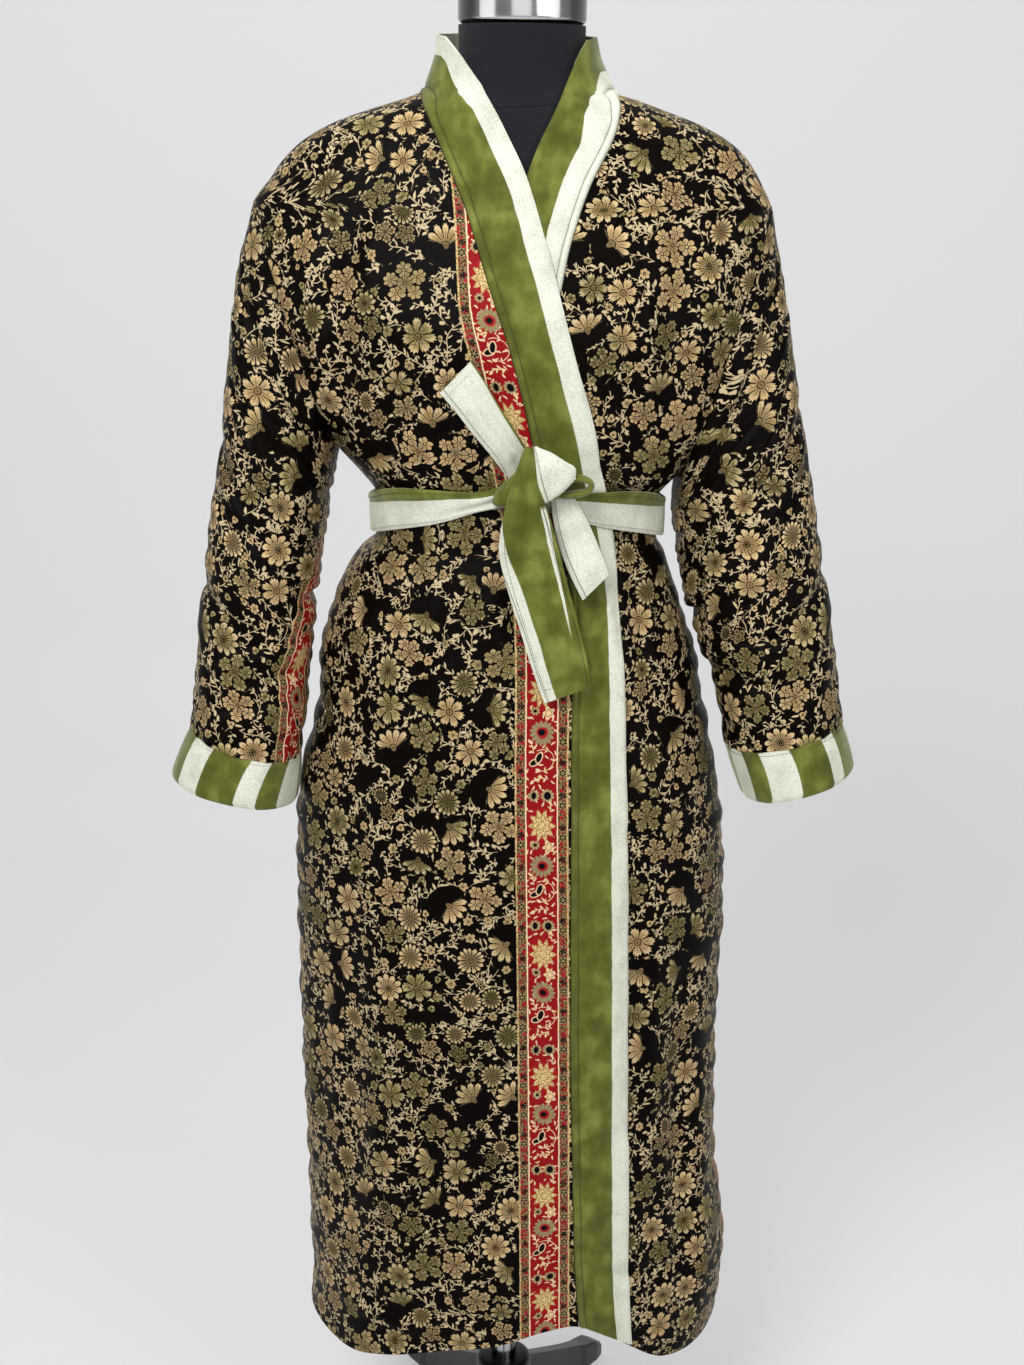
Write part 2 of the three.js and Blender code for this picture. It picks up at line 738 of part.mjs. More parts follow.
function formGeometry() {
  const around = 28;
  return ringGeometry(formSections.map((row) => Array.from({ length: around }, (unused, i) => {
    const turn = (2 * Math.PI * i) / around;
    const reach = Math.cos(turn) < 0 ? row.back : row.front;
    return new THREE.Vector3(
      row.half * power(Math.sin(turn), 2 / roundness),
      -reach * power(Math.cos(turn), 2 / roundness),
      row.height,
    );
  })));
}

// A polished cap with a rounded top edge.
function capGeometry() {
  const bottom = formSections[formSections.length - 1].height + seamGap;
  const corner = capEdge * 0.3;
  const profile = [
    [0, bottom], [capRadius, bottom], [capRadius, capTop - capEdge],
    [capRadius - corner, capTop - corner], [capRadius - capEdge, capTop], [0, capTop],
  ];
  const geometry = new THREE.LatheGeometry(profile.map(([r, h]) => new THREE.Vector2(r, h)), 32);
  return geometry.rotateX(Math.PI / 2);
}

function poleGeometry() {
  const top = formBottom - seamGap;
  const geometry = new THREE.CylinderGeometry(poleRadius, poleRadius, top - poleFoot, 20);
  return geometry.rotateX(Math.PI / 2).translate(0, 0, (top + poleFoot) / 2);
}

// The hub is a ring round the pole, on which the legs meet.
function hubGeometry() {
  const bore = poleRadius + seamGap;
  const profile = [
    [bore, hubBottom], [hubRadius - 4, hubBottom], [hubRadius, hubBottom + 4],
    [hubRadius, hubTop - 10], [hubRadius - 8, hubTop], [bore, hubTop], [bore, hubBottom],
  ];
  const geometry = new THREE.LatheGeometry(profile.map(([r, h]) => new THREE.Vector2(r, h)), 24);
  return geometry.rotateX(Math.PI / 2);
}

// A leg slopes from the hub to a flat foot. Its first ring is a flat end against the hub.
function legGeometry() {
  const rows = columns(['reach', 'bottom', 'top', 'half'], [
    [hubRadius + seamGap, 56, 84, 9],
    [64, 40, 68, 9],
    [116, 18, 44, 9],
    [140, 4, 34, 10],
    [150, 0, 30, 12],
    [170, 0, 24, 13],
    [legReach, 0, 16, 11],
  ]);
  return ringGeometry(rows.map((row) => {
    const corner = (y, z) => new THREE.Vector3(row.reach, y, z);
    return [
      corner(-row.half, row.bottom), corner(row.half, row.bottom),
      corner(row.half, row.top - legBevel), corner(row.half - legBevel, row.top),
      corner(-row.half + legBevel, row.top), corner(-row.half, row.top - legBevel),
    ];
  }));
}

const finish = (color, roughness, metalness = 0) => ({ color, roughness, metalness });
const sateen = finish(0x14161a, 0.42);
const velvet = finish(0x5d6b22, 0.85);
const paleVelvet = finish(0xc3c7b8, 0.85);
const blackCover = finish(0x15171c, 0.6);
const blackMetal = finish(0x18191b, 0.45);
const chrome = finish(0xc9ccd0, 0.2, 1);

const group = new THREE.Group();

function add(name, geometry, look) {
  const mesh = new THREE.Mesh(geometry, new THREE.MeshStandardMaterial(look));
  mesh.name = name;
  group.add(mesh);
  return mesh;
}

add('gown_back', backGeometry(), sateen);
add('gown_front_right', frontRightGeometry(), sateen);
add('gown_front_left', frontLeftGeometry(), sateen);
for (const [name, sleeve] of Object.entries(sleeves)) {
  add(`gown_sleeve_${name}`, sleeveGeometry(sleeve), sateen);
  add(`gown_cuff_${name}`, cuffGeometry(sleeve), velvet);
}
add('gown_band_right', bandGeometry(bandRight, -1, hemTop, topLift), velvet);
add('gown_band_left', bandGeometry(bandLeft, 1, hemBeneath, flat), velvet);
add('belt_waist', beltWaistGeometry(), paleVelvet);
add('belt_knot', rollGeometry(knotRings, 12), velvet);
add('belt_loop', rollGeometry(loopRings, 10), velvet);
for (const [name, rows] of Object.entries(straps)) {
  add(name, strapGeometry(rows), name === 'belt_end_long' ? velvet : paleVelvet);
}
add('form_torso', formGeometry(), blackCover);
add('form_cap', capGeometry(), chrome);
add('stand_pole', poleGeometry(), chrome);
add('stand_hub', hubGeometry(), blackMetal);
for (let k = 0; k < legCount; k += 1) {
  const leg = add(`stand_leg_${k + 1}`, legGeometry(), blackMetal);
  leg.rotation.z = -Math.PI / 2 + (2 * Math.PI * k) / legCount;
}

// The origin is on the floor under the middle of the whole.
const box = new THREE.Box3().setFromObject(group, true);
const middle = box.getCenter(new THREE.Vector3());
group.position.set(-middle.x, -middle.y, 0);
group.updateMatrixWorld(true);

export default group;
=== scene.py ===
# A full-length wrap dressing gown with its belt, on a limbless dress form and its stand.
# Shapes are worked out in millimetres round the stand's pole, +Z up and the front towards -Y,
# and are placed in metres in the frame when each mesh is made. Right and left are the wearer's.

import json
import math

import bmesh
import bpy
import numpy as np
from mathutils import Matrix, Vector

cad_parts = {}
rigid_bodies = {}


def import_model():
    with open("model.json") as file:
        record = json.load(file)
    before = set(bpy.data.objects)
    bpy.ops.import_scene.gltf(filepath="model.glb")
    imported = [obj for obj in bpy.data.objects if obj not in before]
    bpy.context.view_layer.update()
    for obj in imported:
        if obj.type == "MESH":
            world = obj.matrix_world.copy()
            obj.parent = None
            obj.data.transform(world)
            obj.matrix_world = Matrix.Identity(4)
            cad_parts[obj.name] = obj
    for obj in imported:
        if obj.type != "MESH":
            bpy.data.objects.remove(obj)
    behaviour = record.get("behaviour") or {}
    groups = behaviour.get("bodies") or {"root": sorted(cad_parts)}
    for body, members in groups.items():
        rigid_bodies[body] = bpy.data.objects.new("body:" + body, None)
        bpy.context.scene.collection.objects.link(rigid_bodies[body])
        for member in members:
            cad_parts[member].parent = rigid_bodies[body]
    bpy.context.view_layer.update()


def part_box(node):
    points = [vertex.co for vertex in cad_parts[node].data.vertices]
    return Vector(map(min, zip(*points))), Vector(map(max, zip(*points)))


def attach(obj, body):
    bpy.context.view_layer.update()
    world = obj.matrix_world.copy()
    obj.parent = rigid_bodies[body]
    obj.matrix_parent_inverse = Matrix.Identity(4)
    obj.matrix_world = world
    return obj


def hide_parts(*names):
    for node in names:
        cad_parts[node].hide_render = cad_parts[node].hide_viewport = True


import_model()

MM = 0.001
pole_low, pole_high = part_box("stand_pole")
POLE = np.array([(pole_low.x + pole_high.x) / 2, (pole_low.y + pole_high.y) / 2, 0.0])

# How thick the walls are and how the layers lie on one another, in millimetres
CLOTH_WALL = 1.6
VELVET_WALL = 2.6
VELVET_PROUD = 0.6
SEAM_GAP = 0.35
OVERLAP_LIFT = 4.9
OVERLAP_EASE = 45
OVERLAP_REACH = 10
ARMHOLE_GAP = 0.6
ROUNDNESS = 2.2

# Heights over the floor
HEM = 190
HEM_EASE_TOP = 390
NECK_SEAM = 1424
COLLAR_TOP = 1484

# Where a cut's border map lies where there is no border, in metres
NO_BORDER = 9.0

# How fine the meshes are, and from which angle their edges are sharp
SHARP = math.radians(50)
STEP = 6.0
BACK_COLUMNS = 96
FRONT_COLUMNS = 64

# Camera, from the photograph's angle of view
CAMERA_PLACE = (-1, -1785, 1400)
CAMERA_DOWN = 16.5
CAMERA_ROLL = 0.0138
FOCAL_PIXELS = 1890
PHOTO_HEIGHT = 1365
SENSOR = 36


def columns(names, rows):
    return {name: np.array([row[i] for row in rows], float) for i, name in enumerate(names.split())}


# The gown's girth: half widths on the wearer's right and left, and depths to front and back
SECTIONS = columns("height right left front back", [
    (160, 209, 222, 140, 128),
    (220, 206, 232, 140, 128),
    (290, 208, 231, 140, 128),
    (365, 209, 219, 139, 128),
    (525, 213, 214, 137, 127),
    (640, 215, 216, 136, 126),
    (730, 214, 211, 134, 125),
    (790, 208, 202, 131, 122),
    (850, 192, 189, 127, 118),
    (912, 187, 176, 121, 113),
    (952, 177, 163, 116, 109),
    (990, 160, 149, 110, 104),
    (1008, 147, 143, 107, 101),
    (1019, 133, 136, 104, 98),
    (1044, 131, 134, 102, 96),
    (1064, 133, 136, 103, 97),
    (1080, 145, 150, 107, 100),
    (1104, 167, 175, 113, 106),
    (1130, 190, 194, 117, 109),
    (1160, 212, 211, 120, 111),
    (1220, 238, 231, 124, 112),
    (1280, 247, 237, 112, 108),
    (1311, 247, 235, 102, 102),
    (1330, 242, 230, 94, 97),
    (1348, 228, 221, 87, 92),
    (1366, 215, 210, 80, 86),
    (1384, 195, 192, 74, 79),
    (1400, 165, 163, 70, 72),
    (1412, 130, 130, 67, 67),
    (1420, 104, 107, 65, 65),
    (1426, 90, 88, 64, 63),
    (1436, 84, 80, 63, 64),
    (1456, 77, 70, 63, 67),
    (1484, 70, 63, 63, 70),
])

# Rows that every panel has, between the hem and the neck
ROWS = (
    190, 240, 310, 400, 480, 560, 640, 720, 790, 845, 890, 930, 965, 990, 1007, 1020, 1044, 1062,
    1080, 1104, 1130, 1165, 1205, 1245, 1285, 1311, 1322, 1330, 1348, 1366, 1384, 1400, 1412, 1420,
    1424,
)

# The front bands: where each is sewn to its front, and the free edge straight across from there
BAND_RIGHT = columns("height seam edge edge_height", [
    (190, 73, 128, 190),
    (491, 61, 117, 491),
    (700, 56, 111, 700),
    (895, 53, 102, 895),
    (986, 50, 95, 986),
    (1044, 37, 87, 1045),
    (1078, 26, 80, 1084),
    (1122, 15, 70, 1136),
    (1196, -3, 48, 1211),
    (1266, -27, 28, 1283),
    (1326, -47, 7, 1350),
    (1365, -64, -11, 1389),
    (1400, -80, -31, 1424),
    (1418, -88, -55, 1458),
    (1424, -89.5, -65, 1471),
])
BAND_LEFT = columns("height seam edge edge_height", [
    (190, -73, -128, 190),
    (491, -61, -117, 491),
    (700, -56, -111, 700),
    (895, -53, -102, 895),
    (986, -50, -95, 986),
    (1044, -37, -87, 1045),
    (1104, -18, -70, 1115),
    (1165, 8, -46, 1180),
    (1205, 20, -34, 1221),
    (1254, 36, -18, 1272),
    (1297, 45, -7, 1315),
    (1346, 61, 12, 1373),
    (1388, 82, 32, 1415),
    (1412, 88, 44, 1444),
    (1424, 87, 57, 1470),
])

# The hem's height under each place
HEM_TOP = columns("x height", [
    (-212, 187), (-163, 179), (-120, 188), (-60, 205), (0, 216), (40, 231), (73, 235), (128, 205),
])
HEM_BENEATH = columns("x height", [
    (-128, 214), (0, 219), (45, 235), (76, 237), (128, 200), (161, 177), (190, 171), (225, 172),
])
HEM_BACK = columns("x height", [
    (-212, 187), (-140, 181), (-40, 192), (70, 184), (150, 186), (225, 172),
])

# The red border's left edge on the top front
BORDER_LINE = columns("height x", [
    (190, 17), (231, 16), (380, 13), (597, 8), (800, 3), (967, 0), (1040, -10), (1120, -24),
    (1203, -42), (1241, -51), (1276, -54), (1311, -56), (1360, -61), (1430, -66),
])
BORDER_RISE = 59

# Troughs (-) and ridges (+) of the body, from one end to the other; bend bows them sideways
CREASES = "from_x from_height to_x to_height width depth bend"
FRONT_FOLDS = columns(CREASES, [
    (-160, 1130, -150, 1345, 13, -6, 0),
    (-137, 1120, -112, 1300, 12, 4, 0),
    (-172, 1160, -190, 1330, 12, 4, 0),
    (142, 1110, 138, 1335, 13, -6, 0),
    (120, 1120, 98, 1300, 12, 4, 0),
    (160, 1130, 178, 1310, 12, 4, 0),
    (-105, 1085, -95, 1190, 9, -4, 0),
    (-70, 1090, -62, 1170, 8, -3, 0),
    (104, 1085, 92, 1180, 9, -4, 0),
    (-100, 1020, -128, 880, 10, -4, 0),
    (-55, 1020, -66, 900, 9, -3, 0),
    (105, 1020, 136, 860, 10, -4, 0),
    (-150, 760, -158, 240, 20, -5, 0),
    (-108, 700, -100, 210, 18, 4, 0),
    (168, 640, 186, 190, 13, -9, 0),
    (192, 480, 204, 200, 14, 5, 0),
])
BACK_FOLDS = columns(CREASES, [
    (-150, 1140, -128, 1330, 13, -6, 0),
    (148, 1130, 124, 1320, 13, -6, 0),
    (-90, 1085, -76, 1210, 10, -5, 0),
    (-30, 1085, -26, 1180, 9, -4, 0),
    (36, 1085, 30, 1200, 9, -4, 0),
    (92, 1085, 80, 1190, 10, -5, 0),
    (-96, 1020, -122, 850, 11, -5, 0),
    (-34, 1020, -42, 880, 10, -4, 0),
    (38, 1020, 50, 860, 10, -4, 0),
    (100, 1020, 126, 850, 11, -5, 0),
    (-120, 720, -138, 200, 20, -7, 0),
    (-66, 700, -72, 200, 18, 6, 0),
    (0, 740, 4, 200, 20, -6, 0),
    (70, 700, 78, 200, 18, 6, 0),
    (130, 720, 146, 200, 20, -7, 0),
])

# Finer creases, which only the visible cloth has
FRONT_CREASES = columns(CREASES, [
    (-205, 1180, -120, 1372, 7, -2.6, 10),
    (-196, 1150, -100, 1290, 6, -2.2, 9),
    (-188, 1128, -92, 1225, 6, -2.4, 8),
    (-180, 1112, -104, 1168, 5, -2.0, 5),
    (-128, 1240, -88, 1330, 6, -1.6, -6),
    (-222, 1240, -176, 1350, 6, -1.8, 6),
    (-100, 1180, -84, 1262, 5, 1.4, 4),
    (196, 1180, 128, 1366, 7, -2.6, -10),
    (190, 1150, 108, 1280, 6, -2.3, -9),
    (182, 1126, 92, 1215, 6, -2.4, -8),
    (176, 1108, 100, 1160, 5, -2.0, -5),
    (70, 1150, 78, 1290, 6, -1.8, 5),
    (104, 1210, 112, 1340, 6, -1.6, -4),
    (214, 1236, 172, 1345, 6, -1.8, -6),
    (-118, 1078, -126, 1140, 5, -2.4, 3),
    (-92, 1080, -98, 1150, 5, 2.0, -3),
    (-80, 1080, -84, 1128, 4, -2.0, 2),
    (-58, 1086, -60, 1160, 5, -1.8, 3),
    (-44, 1084, -40, 1130, 4, 1.6, -2),
    (-28, 1090, -36, 1150, 5, -1.5, 2),
    (72, 1086, 70, 1140, 5, -1.8, 3),
    (88, 1084, 90, 1150, 4, 1.6, 2),
    (116, 1082, 124, 1146, 5, -2.2, -3),
    (-122, 1014, -140, 940, 6, -2.4, 4),
    (-112, 1014, -120, 925, 5, 2.0, -3),
    (-88, 1016, -96, 910, 5, -2.2, 4),
    (-74, 1016, -74, 945, 5, 1.8, -3),
    (-40, 1014, -46, 900, 5, -2.0, 3),
    (-22, 1012, -18, 930, 5, 1.5, 2),
    (-6, 1014, -10, 905, 6, -1.8, -3),
    (16, 1012, 20, 925, 5, -1.4, 2),
    (92, 1012, 100, 920, 5, -1.9, 3),
    (120, 1012, 134, 930, 5, 2.0, -3),
    (130, 1010, 150, 900, 6, -2.4, 4),
    (-170, 905, -60, 880, 8, -1.8, 8),
    (-60, 842, 30, 858, 8, -1.4, -6),
    (-190, 742, -70, 724, 9, -1.6, 7),
    (70, 770, 190, 744, 9, -1.8, 8),
    (-130, 655, -10, 642, 9, -1.3, -6),
    (96, 610, 200, 592, 9, -1.5, 7),
    (-196, 505, -60, 520, 10, -1.5, 8),
    (-90, 418, 10, 405, 9, -1.2, 6),
    (84, 436, 196, 452, 9, -1.5, -7),
    (-200, 262, 10, 246, 8, -2.4, 6),
    (-186, 240, -30, 226, 6, 1.6, 4),
    (90, 300, 205, 276, 8, -2.0, 6),
    (-78, 960, -96, 560, 15, -2.2, 10),
    (-40, 880, -50, 300, 14, 1.6, -8),
    (-182, 640, -184, 330, 12, -2.6, 6),
    (-128, 560, -136, 300, 11, 2.0, -6),
    (-66, 480, -60, 215, 13, -2.2, 6),
    (30, 900, 28, 420, 14, -1.4, 6),
    (106, 860, 120, 420, 13, -2.4, -8),
    (140, 780, 152, 380, 11, 2.2, 8),
    (150, 420, 160, 210, 10, -2.6, 4),
])
BACK_CREASES = columns(CREASES, [
    (-210, 1180, -112, 1360, 7, -2.6, 10),
    (-200, 1140, -96, 1270, 6, -2.4, 9),
    (-186, 1114, -80, 1200, 6, -2.2, 8),
    (200, 1180, 110, 1360, 7, -2.6, -10),
    (192, 1140, 92, 1262, 6, -2.4, -9),
    (178, 1112, 84, 1196, 6, -2.2, -8),
    (-60, 1300, 60, 1312, 10, -1.6, -10),
    (-52, 1350, 50, 1356, 8, -1.4, -8),
    (-110, 1082, -104, 1150, 5, -2.2, 3),
    (-72, 1084, -66, 1150, 5, 2.0, -3),
    (-52, 1084, -50, 1140, 5, -1.9, 3),
    (-8, 1084, -4, 1150, 5, -1.9, -3),
    (12, 1084, 12, 1135, 5, 1.7, 3),
    (56, 1084, 54, 1146, 5, -2.0, 3),
    (76, 1084, 72, 1150, 5, 1.8, -3),
    (112, 1082, 106, 1150, 5, -2.3, 3),
    (-116, 1012, -140, 920, 6, -2.3, 4),
    (-78, 1012, -90, 900, 6, -2.1, 4),
    (-54, 1012, -62, 930, 5, 1.9, -3),
    (-12, 1012, -16, 905, 6, -1.8, 3),
    (16, 1012, 20, 930, 5, 1.6, -3),
    (62, 1012, 72, 905, 6, -2.0, -4),
    (82, 1012, 94, 925, 5, 1.8, 4),
    (120, 1012, 144, 915, 6, -2.3, 4),
    (-176, 880, -40, 862, 8, -1.7, 8),
    (30, 830, 170, 846, 8, -1.6, -8),
    (-150, 690, -10, 672, 9, -1.5, 8),
    (50, 600, 190, 616, 9, -1.5, -8),
    (-190, 470, -70, 486, 9, -1.5, 7),
    (-30, 396, 110, 380, 9, -1.4, 7),
    (-196, 262, 0, 250, 8, -2.0, 6),
    (30, 250, 200, 262, 8, -2.0, -6),
    (-96, 620, -100, 240, 12, -2.4, 8),
    (-160, 600, -176, 260, 12, 2.2, -6),
    (-34, 640, -36, 250, 12, 2.0, 6),
    (36, 640, 42, 250, 12, 1.8, -6),
    (104, 620, 112, 240, 12, -2.4, -8),
    (164, 600, 184, 260, 12, 2.2, 6),
])

# Each sleeve's rings, first the armhole: outer and inner edge seen from the front, half depths to
# front and back, and how far the middle hangs forward. Folds run round the sleeve by turn.
RINGS = "along outer outer_height inner inner_height front back forward"
WRINKLES = "along turn spread slant width depth"
SLEEVES = {
    "right": {
        "side": -1,
        "rings": columns(RINGS, [
            (0, 242, 1330, 167, 1104, 74, 70, 0),
            (0.1, 257, 1278, 171, 1088, 73, 70, 1),
            (0.24, 266, 1219, 175, 1067, 71, 69, 4),
            (0.38, 273, 1155, 179, 1039, 69, 68, 9),
            (0.52, 281, 1089, 184, 1005, 68, 67, 15),
            (0.66, 291, 1021, 188, 966, 67, 66, 23),
            (0.8, 299, 953, 193, 915, 66, 65, 32),
            (0.92, 305, 886, 199, 860, 66, 64, 40),
            (1, 309, 843, 205, 813, 67, 64, 45),
        ]),
        "cuff": {
            "outer": 328, "outer_height": 794, "inner": 208, "inner_height": 768,
            "front": 69, "back": 65,
        },
        "folds": columns(WRINKLES, [
            (0.16, 75, 60, 0.06, 0.03, -5),
            (0.3, 160, 75, -0.05, 0.028, -5),
            (0.47, 20, 70, 0.07, 0.026, -5),
            (0.57, 95, 70, -0.06, 0.026, -4),
            (0.66, 170, 80, 0.05, 0.026, -6),
            (0.76, 50, 80, 0.05, 0.024, -5),
            (0.85, 130, 80, -0.05, 0.024, -5),
            (0.62, -90, 80, 0.07, 0.028, -6),
            (0.78, -120, 80, -0.05, 0.026, -5),
            (0.3, -80, 70, 0.05, 0.03, -5),
        ]),
    },
    "left": {
        "side": 1,
        "rings": columns(RINGS, [
            (0, 230, 1330, 151, 1080, 74, 70, 0),
            (0.1, 241, 1280, 149, 1056, 74, 70, 1),
            (0.24, 252, 1225, 151, 1033, 73, 69, 4),
            (0.38, 262, 1166, 155, 1009, 72, 68, 9),
            (0.52, 272, 1115, 159, 988, 71, 67, 15),
            (0.66, 285, 1043, 166, 957, 70, 66, 23),
            (0.8, 298, 975, 179, 921, 69, 65, 32),
            (0.92, 308, 913, 194, 885, 68, 64, 40),
            (1, 316, 858, 205, 830, 68, 64, 44),
        ]),
        "cuff": {
            "outer": 329, "outer_height": 812, "inner": 223, "inner_height": 780,
            "front": 69, "back": 66,
        },
        "folds": columns(WRINKLES, [
            (0.15, 80, 60, 0.06, 0.03, -5),
            (0.32, 165, 75, -0.05, 0.028, -5),
            (0.44, 30, 70, 0.07, 0.026, -5),
            (0.56, 110, 70, -0.06, 0.026, -5),
            (0.68, 175, 80, 0.05, 0.026, -6),
            (0.79, 60, 80, 0.05, 0.024, -6),
            (0.88, 140, 80, -0.05, 0.024, -5),
            (0.6, -95, 80, 0.07, 0.028, -6),
            (0.8, -70, 80, -0.05, 0.026, -5),
            (0.33, -85, 70, 0.05, 0.03, -5),
        ]),
    },
}
# Finer wrinkles on both sleeves
SLEEVE_CREASES = columns(WRINKLES, [
    (0.1, 40, 40, 0.05, 0.012, -1.8),
    (0.13, 110, 45, -0.05, 0.012, -1.8),
    (0.2, 20, 40, 0.05, 0.012, -1.6),
    (0.25, 100, 60, -0.07, 0.013, -1.8),
    (0.36, 60, 50, 0.08, 0.013, -2.0),
    (0.41, 140, 50, -0.06, 0.012, -2.2),
    (0.45, 85, 55, 0.08, 0.012, -1.8),
    (0.5, 160, 50, -0.05, 0.012, -2.4),
    (0.53, 50, 60, 0.06, 0.012, 1.6),
    (0.6, 60, 50, 0.07, 0.012, -2.2),
    (0.63, 120, 55, -0.06, 0.012, 1.8),
    (0.7, 100, 60, 0.06, 0.012, -2.4),
    (0.73, 20, 45, -0.05, 0.011, -2.0),
    (0.81, 90, 60, -0.06, 0.011, -2.4),
    (0.87, 60, 55, 0.05, 0.011, 1.8),
    (0.91, 100, 60, -0.04, 0.011, -2.0),
    (0.94, 30, 45, 0.03, 0.01, -1.6),
    (0.2, -100, 60, 0.06, 0.013, -1.8),
    (0.4, -60, 60, -0.07, 0.013, -2.0),
    (0.48, -130, 60, 0.06, 0.012, -2.2),
    (0.55, -80, 60, 0.06, 0.012, 1.8),
    (0.7, -60, 60, -0.06, 0.012, -2.4),
    (0.74, -140, 60, 0.05, 0.012, -2.2),
    (0.86, -100, 60, -0.05, 0.011, -2.4),
    (0.93, -60, 60, 0.04, 0.011, -1.8),
])

# The belt round the waist narrows into the knot. Turns are in degrees from the centre front
BELT_LINE = columns("turn top bottom", [
    (0, 1092, 1071),
    (6, 1089, 1070),
    (11, 1085, 1067),
    (15, 1084, 1064),
    (31, 1085, 1050),
    (50, 1082, 1040),
    (90, 1063, 1022),
    (135, 1060, 1018),
    (180, 1060, 1018),
])

# The dress form's girth, from its foot to the top of its neck
FORM = columns("height half front back", [
    (812, 118, 70, 76),
    (820, 146, 92, 98),
    (840, 160, 103, 108),
    (875, 166, 108, 110),
    (930, 150, 102, 104),
    (990, 124, 90, 88),
    (1044, 112, 84, 80),
    (1090, 120, 91, 84),
    (1150, 138, 105, 91),
    (1205, 150, 112, 95),
    (1260, 157, 102, 97),
    (1310, 168, 88, 92),
    (1344, 182, 78, 84),
    (1369, 189, 72, 78),
    (1385, 184, 67, 73),
    (1399, 158, 64, 67),
    (1410.5, 126, 61.5, 62),
    (1418, 101, 59.5, 60),
    (1423, 84, 58.5, 59),
    (1430, 68, 57.5, 58),
    (1442, 58, 57, 57),
    (1483, 57, 57, 57),
])


def curve(rows, key, at, name):
    """A smooth curve through one column of a table."""
    x, y = rows[key], rows[name]
    at = np.asarray(at, float)
    last = len(x) - 1
    i = np.clip(np.searchsorted(x, at, side="left") - 1, 0, last - 1)
    low, high = np.maximum(np.arange(last + 1) - 1, 0), np.minimum(np.arange(last + 1) + 1, last)
    slope = (y[high] - y[low]) / (x[high] - x[low])
    span = x[i + 1] - x[i]
    t = np.clip((at - x[i]) / span, 0, 1)
    return (
        (2 * t**3 - 3 * t**2 + 1) * y[i]
        + (t**3 - 2 * t**2 + t) * span * slope[i]
        + (3 * t**2 - 2 * t**3) * y[i + 1]
        + (t**3 - t**2) * span * slope[i + 1]
    )


def ease(t):
    t = np.clip(t, 0, 1)
    return t * t * (3 - 2 * t)


def mix(a, b, t):
    return a + (b - a) * t


def bell(off, width):
    """1 at no offset, falling off smoothly on both sides."""
    return np.exp(-((off / width) ** 2))


def power(value, exponent):
    return np.sign(value) * np.abs(value) ** exponent


def unit(vectors):
    return vectors / np.maximum(np.linalg.norm(vectors, axis=-1, keepdims=True), 1e-9)


def crease_depth(creases, x, height, with_ridge):
    """How far the creases move the cloth in or out; with_ridge adds a soft swell beside each."""
    depth = np.zeros(np.broadcast(x, height).shape)
    for k in range(len(creases["width"])):
        from_x, from_height = creases["from_x"][k], creases["from_height"][k]
        run = np.array([creases["to_x"][k] - from_x, creases["to_height"][k] - from_height])
        length = np.hypot(*run)
        along_x, along_height = run / length
        t = ((x - from_x) * along_x + (height - from_height) * along_height) / length
        off = (x - from_x) * along_height - (height - from_height) * along_x
        inside = np.where((t > 0) & (t < 1), np.sin(np.pi * np.clip(t, 0, 1)), 0)
        across = (off - creases["bend"][k] * inside) / creases["width"][k]
        profile = bell(across, 1)
        if with_ridge:
            profile = profile - 0.4 * bell(across - 1.9, 1)
        depth = depth + creases["depth"][k] * inside * profile
    return depth


def waver(x, height):
    """A slight unevenness that no pressed cloth is free of."""
    slow = 0.5 * np.sin(x / 17 + height / 61) + 0.45 * np.sin(height / 23 - x / 37 + 1.3)
    return slow + 0.35 * np.sin(x / 9.5 - height / 14.5 + 0.7)


# How deep the fine creases are, as a factor of their tables, and how deep the unevenness is
BODY_CREASE_DEPTH, SLEEVE_CREASE_DEPTH, WAVER_DEPTH = 1.35, 1.45, 0.8
# The belt presses the creases flat at this height
BELT_MIDDLE = 1056


def body_point(turn, height, fine=True):
    """A point of the gown's body. turn is 0 at the centre front and a quarter turn at each side."""
    turn, height = np.broadcast_arrays(np.asarray(turn, float), np.asarray(height, float))
    across = np.sin(turn)
    is_front = np.cos(turn) >= 0
    right = curve(SECTIONS, "height", height, "right")
    half = np.where(across < 0, right, curve(SECTIONS, "height", height, "left"))
    front = curve(SECTIONS, "height", height, "front")
    reach = np.where(is_front, front, curve(SECTIONS, "height", height, "back"))
    depth = np.maximum(0, 1 - np.abs(across) ** ROUNDNESS) ** (1 / ROUNDNESS)
    facing = np.where(is_front, -1.0, 1.0)
    x = half * across
    fold = np.where(
        is_front,
        crease_depth(FRONT_FOLDS, x, height, False),
        crease_depth(BACK_FOLDS, x, height, False),
    ) * np.minimum(1, depth * 3)
    if fine:
        small = np.where(
            is_front,
            crease_depth(FRONT_CREASES, x, height, True),
            crease_depth(BACK_CREASES, x, height, True),
        )
        off_belt = ease(np.abs(height - BELT_MIDDLE) / 44 - 0.35)
        off_neck = ease((1412 - height) / 60)
        small = BODY_CREASE_DEPTH * small + WAVER_DEPTH * waver(x, height)
        small = small * np.minimum(1, depth * 2.2)
        side = bell(depth, 0.42) * ease((1000 - height) / 60)
        pucker = 1.1 * np.sin(height / 4.4 + 2.2 * np.sin(height / 37))
        pucker = (pucker + 1.0 * np.sin(height / 9.7 + 1.9 * np.sin(height / 61) + 1)) * side
        fold = fold + (small + pucker) * off_belt * off_neck
    out = unit(np.stack([across / half, facing * depth / reach], -1))
    y = facing * reach * depth + out[..., 1] * fold
    return np.stack([x + out[..., 0] * fold, y, height], -1)


def body_normal(turn, height, fine=True):
    turn_step, height_step = 0.008, 2.0
    around = body_point(turn + turn_step, height, fine) - body_point(turn - turn_step, height, fine)
    up = body_point(turn, height + height_step, fine) - body_point(turn, height - height_step, fine)
    return unit(np.cross(around, up))


